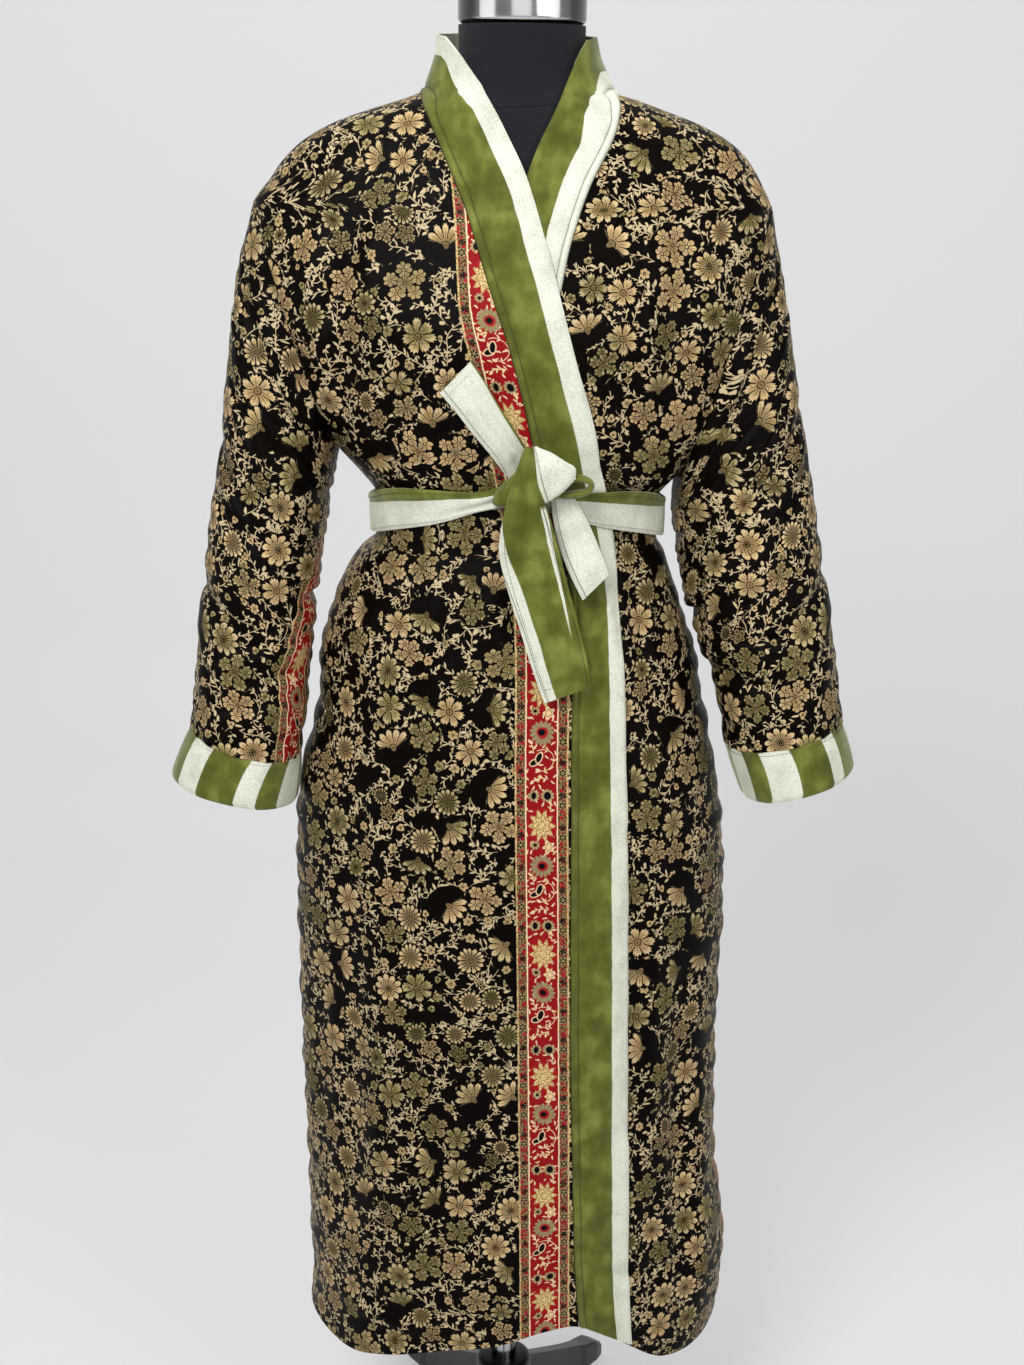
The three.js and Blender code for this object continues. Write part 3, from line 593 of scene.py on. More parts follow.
def front_turn(x, height):
    right = curve(SECTIONS, "height", height, "right")
    half = np.where(np.asarray(x) < 0, right, curve(SECTIONS, "height", height, "left"))
    return np.arcsin(np.clip(x / half, -1, 1))


def no_lift(x, height):
    return np.zeros(np.broadcast(x, height).shape)


def top_lift(x, height):
    """How far the top layer stands off the layer beneath it."""
    edge = curve(BAND_LEFT, "height", height, "edge")
    return OVERLAP_LIFT * ease((x - edge + OVERLAP_EASE + OVERLAP_REACH) / OVERLAP_EASE)


def hemmed(hem, x, height):
    share = np.clip((HEM_EASE_TOP - height) / (HEM_EASE_TOP - HEM), 0, None)
    return height + (curve(hem, "x", x, "height") - HEM) * share


def layer_point(turn, height, hem, lift, fine=True):
    level = hemmed(hem, body_point(turn, height, fine)[..., 0], height)
    point = body_point(turn, level, fine)
    normal = body_normal(turn, level, fine)
    return point + normal * lift(point[..., 0], level)[..., None], normal


def armhole_turn(sleeve, height):
    rings = sleeve["rings"]
    low, high = rings["inner_height"][0], rings["outer_height"][0]
    if height <= low or height >= high:
        return math.pi / 2
    t = (height - low) / (high - low)
    x = sleeve["side"] * mix(rings["inner"][0], rings["outer"][0], t)
    return float(abs(front_turn(x, height)))


def finer(rows, step):
    """The rows with others between them, at most a step apart."""
    out = [rows[0]]
    for low, high in zip(rows, rows[1:]):
        count = max(1, math.ceil((high - low) / step))
        out += [low + (high - low) * k / count for k in range(1, count + 1)]
    return np.array(out, float)


def to_frame(points):
    return (np.asarray(points, float) + POLE / MM) * MM


def new_mesh(name, points, faces, uvs=None, border=None, sharp=None):
    """A mesh object in metres. uvs and border are per point, and go to the maps Cut and Border."""
    mesh = bpy.data.meshes.new(name)
    mesh.from_pydata(to_frame(points).tolist(), [], faces)
    for label, values in (("Cut", uvs), ("Border", border)):
        if values is None:
            continue
        layer = mesh.uv_layers.new(name=label)
        corner = np.zeros(len(mesh.loops), np.int64)
        mesh.loops.foreach_get("vertex_index", corner)
        layer.data.foreach_set("uv", np.asarray(values, float)[corner].ravel())
    mesh.polygons.foreach_set("use_smooth", [True] * len(mesh.polygons))
    mesh.update()
    if sharp is not None:
        mesh.set_sharp_from_angle(angle=math.radians(sharp))
    piece = bpy.data.objects.new(name, mesh)
    bpy.context.scene.collection.objects.link(piece)
    return piece


def grid_normals(grid, wraps):
    """Outward directions of a grid of rows by columns, by the slope to its neighbours."""
    if wraps:
        around = np.roll(grid, -1, 1) - np.roll(grid, 1, 1)
    else:
        around = np.gradient(grid, axis=1)
    return unit(np.cross(around, np.gradient(grid, axis=0)))


def shell(name, outer, normals, wall, uvs=None, border=None, wraps=False):
    """A closed thin wall from the grid of its outer face. A wrapped grid repeats its first column,
    so that the cut's coordinates can run on past it."""
    rows, cols = outer.shape[:2]
    points = np.concatenate([outer.reshape(-1, 3), (outer - normals * wall).reshape(-1, 3)])
    count = rows * cols
    j, i = np.meshgrid(np.arange(rows - 1), np.arange(cols - 1), indexing="ij")
    a = (j * cols + i).ravel()
    outside = np.stack([a, a + 1, a + cols + 1, a + cols], 1)
    inside = np.stack([a, a + cols, a + cols + 1, a + 1], 1) + count
    low = np.arange(cols - 1)
    high = (rows - 1) * cols + low
    faces = [outside, inside]
    faces.append(np.stack([low + count, low + 1 + count, low + 1, low], 1))
    faces.append(np.stack([high, high + 1, high + 1 + count, high + count], 1))
    if not wraps:
        left = np.arange(rows - 1) * cols
        right = left + cols - 1
        faces.append(np.stack([left + count, left, left + cols, left + cols + count], 1))
        faces.append(np.stack([right, right + count, right + cols + count, right + cols], 1))
    faces = np.concatenate(faces)
    doubled = [None if v is None else np.concatenate([v.reshape(-1, 2)] * 2) for v in (uvs, border)]
    piece = new_mesh(name, points, faces.tolist(), doubled[0], doubled[1])
    if wraps:
        weld(piece)
    piece.data.set_sharp_from_angle(angle=SHARP)
    return piece


def weld(piece):
    work = bmesh.new()
    work.from_mesh(piece.data)
    bmesh.ops.remove_doubles(work, verts=work.verts, dist=1e-5)
    work.to_mesh(piece.data)
    work.free()


def run_lengths(grid):
    """The distance run along each row of a grid, from its first column."""
    steps = np.linalg.norm(np.diff(grid, axis=1), axis=2)
    return np.concatenate([np.zeros((len(grid), 1)), np.cumsum(steps, 1)], 1)


def rise_lengths(grid, column):
    steps = np.linalg.norm(np.diff(grid[:, column], axis=0), axis=1)
    return np.concatenate([[0], np.cumsum(steps)])


def flattened(grid):
    """A piece laid flat: lengths down its lines from the last row, and widths square to them."""
    down = np.diff(grid, axis=0)
    steps = np.linalg.norm(down, axis=2)
    up = np.concatenate([np.cumsum(steps[::-1], 0)[::-1], np.zeros((1, grid.shape[1]))])
    lines = unit(np.concatenate([down, down[-1:]]))
    across = np.diff(grid, axis=1)
    line = unit(lines[:, 1:] + lines[:, :-1])
    square = across - (across * line).sum(-1, keepdims=True) * line
    widths = np.cumsum(np.linalg.norm(square, axis=2), 1)
    run = np.concatenate([np.zeros((len(grid), 1)), widths], 1)
    return run, up


# The net of rows and columns that a piece is laid flat by, and how many rounds ease it
FLAT_NET = (34, 22)
FLAT_ROUNDS = 40


def laid_flat(grid, plain):
    """The cut of a draped piece: plain is a first layout, eased until the least is stretched."""
    at = [
        np.unique(np.linspace(0, size - 1, count).round().astype(int))
        for size, count in zip(grid.shape, FLAT_NET)
    ]
    points = grid[at[0]][:, at[1]]
    index = np.arange(points.shape[0] * points.shape[1]).reshape(points.shape[:2])
    a, b, c, d = index[:-1, :-1], index[:-1, 1:], index[1:, 1:], index[1:, :-1]
    halves = [np.stack(three, -1).reshape(-1, 3) for three in ((a, b, c), (a, c, d))]
    corners = np.concatenate(halves)
    spots = points.reshape(-1, 3)
    first, second = (spots[corners[:, k]] - spots[corners[:, 0]] for k in (1, 2))
    long = np.linalg.norm(first, axis=1)
    doubled = np.linalg.norm(np.cross(first, second), axis=1)
    third = ((first * second).sum(1) + 1j * doubled) / long
    shape = np.stack([0 * long, long + 0j, third], 1)
    pairs = [(0, 1), (1, 2), (2, 0)]
    sides = np.stack([shape[:, i] - shape[:, j] for i, j in pairs], 1)
    to = np.stack([sides[:, (k + 2) % 3] * np.conj(-sides[:, (k + 1) % 3]) for k in range(3)], 1)
    weight = np.clip(to.real / np.maximum(abs(to.imag), 1e-6), 0.05, 20)
    size = index.size
    matrix = np.zeros((size, size))
    for k, (i, j) in enumerate(pairs):
        for one, other in ((i, j), (j, i)):
            np.add.at(matrix, (corners[:, one], corners[:, one]), weight[:, k])
            np.add.at(matrix, (corners[:, one], corners[:, other]), -weight[:, k])
    matrix[0, 0] += 1
    solve = np.linalg.inv(matrix)
    place = plain[at[0]][:, at[1]].reshape(-1)
    for _ in range(FLAT_ROUNDS):
        now = np.stack([place[corners[:, i]] - place[corners[:, j]] for i, j in pairs], 1)
        turn = (weight * now * np.conj(sides)).sum(1)
        turn = turn / np.maximum(abs(turn), 1e-9)
        pull = np.zeros(size, complex)
        for k, (i, j) in enumerate(pairs):
            force = weight[:, k] * turn * sides[:, k]
            np.add.at(pull, corners[:, i], force)
            np.add.at(pull, corners[:, j], -force)
        place = solve @ pull
    place = place.reshape(points.shape[:2])
    place = np.array([np.interp(np.arange(grid.shape[1]), at[1], row) for row in place])
    return np.array([np.interp(np.arange(grid.shape[0]), at[0], line) for line in place.T]).T


def area_of(grid):
    """The area of a grid's face, in square metres."""
    a, b, c, d = grid[:-1, :-1], grid[:-1, 1:], grid[1:, 1:], grid[1:, :-1]
    upper = np.linalg.norm(np.cross(b - a, c - a), axis=2)
    lower = np.linalg.norm(np.cross(c - a, d - a), axis=2)
    return float((upper + lower).sum()) / 2 * MM * MM


def panel(name, cols, rows, turns, hem, lift, face, anchor_turn, border_at=None):
    """A body panel between two edges, given as turns at each height, with its cut's coordinates."""
    share = np.linspace(0, 1, cols + 1)
    limits = np.array([turns(height) for height in rows])
    turn = mix(limits[:, :1], limits[:, 1:], share[None, :])
    height = np.repeat(rows[:, None], cols + 1, 1)
    outer, normal = layer_point(turn, height, hem, lift)
    outer[..., 1] += face * SEAM_GAP / 2
    run = run_lengths(outer)
    run = run - np.array([np.interp(anchor_turn, t, r) for t, r in zip(turn, run)])[:, None]
    middle = int(np.argmin(abs(turn[0] - anchor_turn)))
    rise = rise_lengths(outer, middle)[:, None]
    cut = laid_flat(outer, run + 1j * rise)
    cut = cut - cut[0, middle]
    upright = cut[len(cut) // 2, middle]
    cut = cut / upright * abs(upright)
    uvs = np.stack([cut.real, cut.imag], -1) * MM
    border = np.full(uvs.shape, NO_BORDER)
    if border_at is not None:
        border[..., 0] = border_at(outer[..., 0], outer[..., 2], run) * MM
        border[..., 1] = (rise + BORDER_RISE) * MM
    piece = shell(name, outer, normal, CLOTH_WALL, uvs, border)
    return piece, outer


def front_right():
    sleeve = SLEEVES["right"]

    def turns(height):
        seam = curve(BAND_RIGHT, "height", height, "seam")
        return -armhole_turn(sleeve, height), float(front_turn(seam, height))

    def border_at(x, height, run):
        return x - curve(BORDER_LINE, "height", height, "x")

    rows = finer(ROWS, STEP)
    return panel(
        "cloth_front_right", FRONT_COLUMNS, rows, turns, HEM_TOP, top_lift, -1, 0.0, border_at
    )


def border_in_front(height):
    """How much of the border at the left side seam shows on the front."""
    return 24 * ease((600 - height) / 160) - 0.5


def front_left():
    sleeve = SLEEVES["left"]

    def turns(height):
        seam = curve(BAND_LEFT, "height", height, "seam")
        return float(front_turn(seam, height)), armhole_turn(sleeve, height)

    def border_at(x, height, run):
        return run - run[:, -1:] + border_in_front(height)

    rows = finer(ROWS, STEP)
    return panel(
        "cloth_front_left", FRONT_COLUMNS, rows, turns, HEM_BENEATH, no_lift, -1, 0.0, border_at
    )


def back():
    def turns(height):
        left, right = (armhole_turn(SLEEVES[side], height) for side in ("left", "right"))
        return math.pi - left, math.pi + right

    def border_at(x, height, run):
        armpit = SLEEVES["left"]["rings"]["inner_height"][0]
        return np.where(height > armpit, NO_BORDER / MM, run - run[:, :1] + border_in_front(height))

    rows = finer(ROWS, STEP)
    return panel("cloth_back", BACK_COLUMNS, rows, turns, HEM_BACK, no_lift, 1, math.pi, border_at)


# How the band swells between its seam and its folded edge, with the stitched line beside the seam
BAND_WIDTH = 57
BAND_COLUMNS = 38
NECK_STEPS = 60
STITCH_INSET = 6.5
CENTRE_BACK_HALF_GAP = 0.0015
ROLL_START = 0.6
ROLL_RADIUS = 3.4
ROLL_TURN = 2.6


def band_swell(across):
    """How far the band's face stands out, by the share of its width from the seam."""
    inset = STITCH_INSET / BAND_WIDTH
    round_edges = ease(across / 0.05) * ease((1 - across) / 0.06)
    groove = bell(across - inset, 0.03)
    ridge = bell(across - inset * 0.5, 0.035)
    body = 1.5 * round_edges + 0.7 * np.sin(np.pi * np.clip(across, 0, 1))
    return -1.3 + body + 0.6 * ridge - 1.5 * groove


def band_ripple(across, along):
    """Puckers along the stitched line, and slow waves over the velvet."""
    near_stitch = bell(across - STITCH_INSET / BAND_WIDTH, 0.09)
    pucker = 0.32 * np.sin(along / 1.55 + 2 * np.sin(along / 31)) * near_stitch
    wave = 0.55 * np.sin(along / 19 + 2.2 * across) * np.sin(along / 73 + 1)
    edge_wave = 0.6 * np.sin(along / 27 + 0.8) * across**3
    return pucker + wave + edge_wave


def roll_out(grid, away, amount):
    """Rolls the band's free edge outwards: amount is a share of the full roll for each station."""
    cols = grid.shape[1]
    first = round(ROLL_START * (cols - 1))
    out = grid.copy()
    up = unit(grid[:, first + 1] - grid[:, first])
    away = away[:, first]
    step = np.linalg.norm(np.diff(grid, axis=1), axis=2)
    run = np.zeros(len(grid))
    keep = (amount > 0.001)[:, None]
    for i in range(first + 1, cols):
        run = run + step[:, i - 1]
        angle = np.minimum(run / ROLL_RADIUS, ROLL_TURN) * amount
        turned = up * np.cos(angle)[:, None] + away * np.sin(angle)[:, None]
        moved = out[:, i - 1] + turned * step[:, i - 1][:, None]
        out[:, i] = np.where(keep, moved, grid[:, i])
    return out


def band(name, table, side, hem, lift, roll_amount):
    """A front band: up the front's edge, then standing round the neck to the centre back."""
    rows = finer(ROWS, STEP)
    seam = curve(table, "height", rows, "seam") - side * SEAM_GAP
    edge = curve(table, "height", rows, "edge")
    edge_height = curve(table, "height", rows, "edge_height")
    seam_turn, edge_turn = front_turn(seam, rows), front_turn(edge, edge_height)
    t = np.arange(1, NECK_STEPS + 1) / NECK_STEPS
    centre_back = side * (math.pi - CENTRE_BACK_HALF_GAP)
    seam_turns = np.concatenate([seam_turn, mix(seam_turn[-1], centre_back, t)])
    edge_turns = np.concatenate([edge_turn, mix(edge_turn[-1], centre_back, t)])
    seam_heights = np.concatenate([rows, np.full(NECK_STEPS, NECK_SEAM + SEAM_GAP)])
    edge_heights = np.concatenate([edge_height, mix(edge_height[-1], COLLAR_TOP, t)])
    across = np.linspace(0, 1, BAND_COLUMNS + 1)[None, :]
    turn = mix(seam_turns[:, None], edge_turns[:, None], across)
    height = mix(seam_heights[:, None], edge_heights[:, None], across)
    base, normal = layer_point(turn, height, hem, lift)
    along = rise_lengths(base, BAND_COLUMNS // 2)[:, None]
    swell = band_swell(across) + band_ripple(across, along)
    outer = base + normal * (VELVET_PROUD + swell)[..., None]
    outer = roll_out(outer, normal, roll_amount(edge_heights, seam_turns))
    uvs = np.stack(np.broadcast_arrays(across * BAND_WIDTH, along), -1) * MM
    if side > 0:
        outer, uvs = outer[:, ::-1], uvs[:, ::-1]
    piece = shell(name, outer, grid_normals(outer, False), VELVET_WALL, uvs)
    return piece, outer


def roll_on_top(edge_height, seam_turn):
    """The top front's edge rolls out beside the neck and stands again towards the back."""
    return ease((edge_height - 1425) / 36) * ease((2.3 + seam_turn) / 0.7) * 0.1


def roll_beneath(edge_height, seam_turn):
    return ease((edge_height - 1445) / 30) * ease((2.2 - seam_turn) / 0.8) * 0.08


def sleeve_fold(sleeve, turn, along, fine):
    """How far a sleeve's wrinkles move its wall in or out."""
    depth = np.zeros(np.broadcast(turn, along).shape)
    for rows, with_ridge in ((sleeve["folds"], False), (SLEEVE_CREASES, True)):
        if with_ridge and not fine:
            continue
        for k in range(len(rows["turn"])):
            away = (np.degrees(turn) - rows["turn"][k] + 180) % 360 - 180
            spread = rows["spread"][k]
            share = np.cos(np.pi / 2 * np.clip(away / spread, -1, 1)) ** 2
            share = np.where(np.abs(away) < spread, share, 0)
            slant = rows["slant"][k] * away / spread
            off = (along - rows["along"][k] - slant) / rows["width"][k]
            profile = bell(off, 1)
            if with_ridge:
                profile = profile - 0.4 * bell(off - 1.9, 1)
            strength = SLEEVE_CREASE_DEPTH if with_ridge else 1
            depth = depth + rows["depth"][k] * strength * share * profile
    if fine:
        depth = depth + 0.7 * np.sin(along * 46 + 2 * np.cos(turn)) * np.sin(turn * 3 + along * 17)
        at_seam = np.exp(-((np.cos(turn) + 1) / 0.25))
        at_fold = np.exp(-((1 - np.cos(turn)) / 0.12))
        ripple = 1.1 * np.sin(along * 78 + 2.6 * np.sin(along * 11))
        ripple = ripple + 0.8 * np.sin(along * 133 + 3 * np.sin(along * 7))
        depth = depth + ripple * (at_seam + 0.6 * at_fold)
        gather = bell(1 - along, 0.05)
        depth = depth + 1.1 * np.sin(turn * 17 + 3 * np.sin(turn * 2)) * gather
    return depth * ease(along / 0.08) * np.where(fine, 1.0, ease((1 - along) / 0.06))


def armhole_depth(sleeve, share, is_front):
    rings = sleeve["rings"]
    height = mix(rings["inner_height"][0], rings["outer_height"][0], share)
    x = sleeve["side"] * mix(rings["inner"][0], rings["outer"][0], share)
    turn = front_turn(x, height)
    return np.abs(body_point(np.where(is_front, turn, np.pi - turn), height)[..., 1])


# The share of a sleeve over which its ring changes from the armhole's shape to an ellipse
ARMHOLE_REACH = 0.34


def ring_point(sleeve, ring, turn, along, fine=True):
    """A point of a sleeve or cuff. turn is 0 at its outer edge and a quarter turn at its front."""
    middle_x = (ring["outer"] + ring["inner"]) / 2
    middle_z = (ring["outer_height"] + ring["inner_height"]) / 2
    reach_x = (ring["outer"] - ring["inner"]) / 2
    reach_z = (ring["outer_height"] - ring["inner_height"]) / 2
    half_width = np.hypot(reach_x, reach_z)
    fold = sleeve_fold(sleeve, turn, along, fine)
    across = power(np.cos(turn), 2 / ROUNDNESS)
    forward = power(np.sin(turn), 2 / ROUNDNESS)
    is_front = forward >= 0
    ellipse_depth = np.where(is_front, ring["front"], ring["back"])
    seam_depth = armhole_depth(sleeve, (1 + across) / 2, is_front)
    depth = mix(seam_depth, ellipse_depth * np.abs(forward), ease(along / ARMHOLE_REACH))
    widen = 1 + fold / half_width
    deepen = 1 + fold / ellipse_depth
    clear = (1 - ease(along / 0.05)) * ARMHOLE_GAP / half_width
    return np.stack([
        sleeve["side"] * (middle_x + reach_x * across * widen + reach_z * clear),
        np.where(is_front, -1, 1) * depth * deepen - ring["forward"],
        middle_z + reach_z * across * widen - reach_x * clear,
    ], -1)


def facing_out(grid, uvs=None, border=None):
    """Turns a tube's grid round where its faces would look inwards."""
    normals = grid_normals(grid, True)
    away = grid - grid.mean(axis=1, keepdims=True)
    if (normals * away).sum() < 0:
        grid = grid[:, ::-1]
        uvs = None if uvs is None else uvs[:, ::-1]
        border = None if border is None else border[:, ::-1]
    return grid, uvs, border


def tube_normals(grid):
    """As grid_normals, for a tube that repeats its first column as its last."""
    wrapped = np.concatenate([grid[:, -2:-1], grid, grid[:, 1:2]], 1)
    around = wrapped[:, 2:] - wrapped[:, :-2]
    return unit(np.cross(around, np.gradient(grid, axis=0)))


def tube(name, grid, wall, uvs, border=None):
    grid, uvs, border = facing_out(grid, uvs, border)
    return shell(name, grid, tube_normals(grid), wall, uvs, border, wraps=True)


SLEEVE_AROUND = 112
SLEEVE_STEPS = 130
# How far the border stands behind the front of the underarm seam, at the armhole and the cuff
BORDER_BEHIND = {"right": (66, -10), "left": (44, 70)}


def sleeve_grid(sleeve, around, along):
    turn = np.linspace(math.pi, 3 * math.pi, around + 1)[None, :]
    along = along[:, None]
    ring = {key: curve(sleeve["rings"], "along", along, key) for key in RINGS.split()}
    return ring_point(sleeve, ring, turn, along)


def sleeve(side_name):
    made = SLEEVES[side_name]
    along = np.linspace(0, 1, SLEEVE_STEPS + 1)
    grid = sleeve_grid(made, SLEEVE_AROUND, along)
    run, up = flattened(grid)
    u = run - run[:, SLEEVE_AROUND // 2][:, None]
    uvs = np.stack([u, up], -1) * MM
    from_top, from_cuff = BORDER_BEHIND[side_name]
    behind = mix(from_top, from_cuff, ease((along[:, None] - 0.15) / 0.7))
    to_front_seam = run[:, -1:] - run
    border = np.stack(np.broadcast_arrays((to_front_seam + behind) * MM, up * MM), -1)
    border[:, : SLEEVE_AROUND // 2, 0] = NO_BORDER
    return tube(f"cloth_sleeve_{side_name}", grid, CLOTH_WALL, uvs, border), grid


CUFF_STEPS = 20


def cuff(side_name):
    """A velvet cuff that flares from the sleeve's end."""
    made = SLEEVES[side_name]
    turn = np.linspace(math.pi, 3 * math.pi, SLEEVE_AROUND + 1)[None, :]
    t = np.linspace(0, 1, CUFF_STEPS + 1)[:, None]
    first = {key: made["rings"][key][-1] for key in RINGS.split()}
    foot = {**made["cuff"], "forward": first["forward"] + 2}
    ring = {key: mix(first[key], foot[key], t**0.8) for key in foot}
    grid = ring_point(made, ring, turn, np.ones_like(t), fine=False)
    grid[..., 2] -= SEAM_GAP * (1 - t)
    middle = grid.mean(axis=1, keepdims=True)
    away = unit((grid - middle) * [1, 1, 0])
    swell = -0.8 + 1.3 * ease(t / 0.12) * ease((1 - t) / 0.1) + 0.9 * np.sin(np.pi * t)
    wave = 0.8 * np.sin(turn * 3 + 1) * t + 0.5 * np.sin(turn * 7) * t * t
    stitch = -0.5 * bell(t - 0.13, 0.03)
    grid = grid + away * (swell + wave + stitch)[..., None]
    run = run_lengths(grid)
    u = run - run[:, SLEEVE_AROUND // 2][:, None]
    up = rise_lengths(grid, SLEEVE_AROUND // 2)[:, None]
    uvs = np.stack(np.broadcast_arrays(u, up), -1) * MM
    return tube(f"velvet_cuff_{side_name}", grid, VELVET_WALL, uvs), grid


BELT_WIDTH = 42
BELT_STITCH_INSET = 3.6
BELT_AROUND = 260
BELT_COLUMNS = 16


def belt_lift(turn):
    clear = 1.2
    at_back = 3 + clear + SEAM_GAP
    at_front = OVERLAP_LIFT + VELVET_PROUD + 3 + clear
    return mix(at_front, at_back, ease((np.abs(turn) - 1.5) / 0.5 + 0.5))


def belt_swell(across):
    """The belt's face, rounded at both edges and drawn in along a line of stitches near each."""
    round_edges = ease(across / 0.07) * ease((1 - across) / 0.07)
    inset = BELT_STITCH_INSET / BELT_WIDTH
    grooves = bell(across - inset, 0.025) + bell(1 - across - inset, 0.025)
    return -1.2 + 1.4 * round_edges + 0.5 * np.sin(np.pi * across) - 0.4 * grooves


def belt_waist():
    turn = np.linspace(-math.pi, math.pi, BELT_AROUND + 1)[None, :]
    degrees = np.abs(np.degrees(turn))
    across = np.linspace(0, 1, BELT_COLUMNS + 1)[:, None]
    bottom = curve(BELT_LINE, "turn", degrees, "bottom")
    top = curve(BELT_LINE, "turn", degrees, "top")
    height = mix(bottom, top, across)
    turns = np.broadcast_to(turn, height.shape)
    normal = body_normal(turns, height, False)
    near_knot = bell(degrees, 26)
    pleat = 1.3 * np.sin(across * 11 + degrees / 9) * near_knot
    wave = 0.4 * np.sin(turn * 9 + 1) * np.sin(np.pi * across)
    out = belt_lift(turns) + belt_swell(across) + pleat + wave
    grid = body_point(turns, height, False) + normal * out[..., None]
    run = run_lengths(grid)
    uvs = np.stack([np.broadcast_to(across * BELT_WIDTH, run.shape), run], -1) * MM
    return tube("velvet_belt_waist", grid, VELVET_WALL, uvs), grid


def smooth_rows(rows, count):
    """A smooth run of values through the rows of a table, as many as count plus one."""
    rows = np.asarray(rows, float)
    key = np.arange(len(rows), dtype=float)
    at = np.linspace(0, len(rows) - 1, count + 1)
    made = {"key": key, **{str(c): rows[:, c] for c in range(rows.shape[1])}}
    return np.stack([curve(made, "key", at, str(c)) for c in range(rows.shape[1])], 1)


RIBBON_COLUMNS = 18

# The belt's free stretches: both edges of each row and how far forward they lie; u1 and u2 are
# the places of the edges in the belt's width, so that the stripes turn with the folds
RIBBONS = {
    "end_upper": [
        (-67, 1174.5, -145, -40, 1202.5, -144, 0, 32),
        (-53, 1158, -143.5, -27, 1183, -142.5, 0, 32),
        (-38, 1138, -139, -16, 1164, -138, 0, 32.5),
        (-22, 1118, -132.5, -4, 1145, -134, 0, 33),
        (-10, 1100, -122.5, 7, 1127, -126, 2, 33),
        (0, 1086, -119, 15, 1112, -121, 6, 33),
    ],
    "end_long": [
        (7, 1127, -138.5, 15, 1127, -139, 24, 52),
        (2, 1114, -142.5, 17, 1114, -144, 22, 52),
        (-4, 1095, -144, 21, 1092, -145.5, 20, 54),
        (-9, 1075, -142.5, 27, 1076, -144, 17, 54),
        (-13, 1052, -140, 33, 1058, -142, 12, 54),
        (-14, 1030, -137, 39, 1036, -140, 7, 54),
        (-6, 997, -135.5, 48, 1003, -138, 2, 54),
        (7, 956, -136, 59, 964, -137.5, 0, 54),
        (19, 919, -138, 67, 932, -138, 0, 54),
        (29, 893, -140, 71, 909, -139, 0, 54),
    ],
    "end_short": [
        (31, 1084, -121.5, 49, 1084, -117.5, 0, 28),
        (33, 1068, -123, 57, 1072, -117, 0, 28),
        (36, 1050, -123.5, 65, 1058, -117, 0, 28),
        (42, 1029, -124, 73, 1041, -118, 0, 28),
        (51, 1008, -125.5, 80, 1024, -120, 0, 28),
        (62, 987, -127, 85, 1010, -122.5, 0, 28),
    ],
    "flap": [
        (15, 1127, -139.5, 18, 1128, -139, 0, 12),
        (16.5, 1117, -143, 30, 1124, -142, 0, 22),
        (18, 1104, -145, 43, 1116, -142.5, 0, 28),
        (20, 1092, -145, 52, 1110, -140.5, 0, 28),
        (24, 1080, -143, 53, 1101, -138.5, 0, 28),
        (26, 1077, -141.5, 51, 1098, -137.5, 0, 28),
    ],
}
# Whether a ribbon's first and last ends are free, with a stitched rim
RIBBON_ENDS_FREE = {
    "end_upper": (True, False),
    "end_long": (False, True),
    "end_short": (False, True),
    "flap": (False, True),
}
# Lengthwise folds of a ribbon: place across and width as shares of its width, then depth
RIBBON_FOLDS = {
    "end_upper": [(0.62, 0.16, -3.4), (0.36, 0.16, 1.6)],
    "end_long": [(0.83, 0.035, -1.6), (0.92, 0.03, -1.4), (0.4, 0.4, 1.6)],
    "end_short": [(0.45, 0.2, -1.4)],
    "flap": [(0.4, 0.3, 1.5)],
}


def ribbon(name):
    """A free stretch of belt: bowed between its edges, puffed, with its folds and stitched rim."""
    rows = smooth_rows(RIBBONS[name], 70)
    t = np.linspace(0, 1, RIBBON_COLUMNS + 1)[None, :, None]
    left, right = rows[:, None, [0, 2, 1]], rows[:, None, [3, 5, 4]]
    grid = mix(left, right, t)
    across = np.linspace(0, 1, RIBBON_COLUMNS + 1)[None, :]
    along = np.linspace(0, 1, len(rows))[:, None]
    rim = ease(across / 0.08) * ease((1 - across) / 0.08)
    groove = bell(across - 0.1, 0.03) + bell(0.9 - across, 0.03)
    start_free, end_free = RIBBON_ENDS_FREE[name]
    if start_free:
        rim = rim * ease(along / 0.05)
        groove = groove + bell(along - 0.06, 0.012)
    if end_free:
        rim = rim * ease((1 - along) / 0.04)
        groove = groove + bell(1 - along - 0.05, 0.01)
    out = 2 * np.sin(np.pi * across) - 1 + 1.3 * rim - 0.35 * groove
    out = out + 0.5 * np.sin(along * 17 + across * 2) * across * (1 - across) * 4
    for place, width, depth in RIBBON_FOLDS[name]:
        out = out + depth * bell(across - place, width) * np.sin(np.pi * along) ** 0.7
    normals = grid_normals(grid, False)
    normals = np.where(normals[..., 1:2] > 0, -normals, normals)
    grid = grid + normals * out[..., None]
    up = rise_lengths(grid, RIBBON_COLUMNS // 2)[:, None]
    u = mix(rows[:, 6:7], rows[:, 7:8], across)
    uvs = np.stack(np.broadcast_arrays(u, up), -1) * MM
    normals = grid_normals(grid, False)
    if normals[..., 1].mean() > 0:
        grid, uvs = grid[:, ::-1], uvs[:, ::-1]
        normals = grid_normals(grid, False)
    return shell(f"velvet_belt_{name}", grid, normals, VELVET_WALL, uvs), grid


KNOT = [
    (-19, -121.5, 1081, 4, 3.5, 2),
    (-15, -124, 1083, 10, 6, 5),
    (-8, -126.5, 1086, 15, 8, 7),
    (4, -128, 1089, 17, 9, 6),
    (16, -128.5, 1092, 18, 9, 4),
    (28, -128, 1094, 17, 9, 3),
    (37, -127, 1093, 14, 7, 2),
    (42, -125.5, 1092, 9, 5, 1),
]
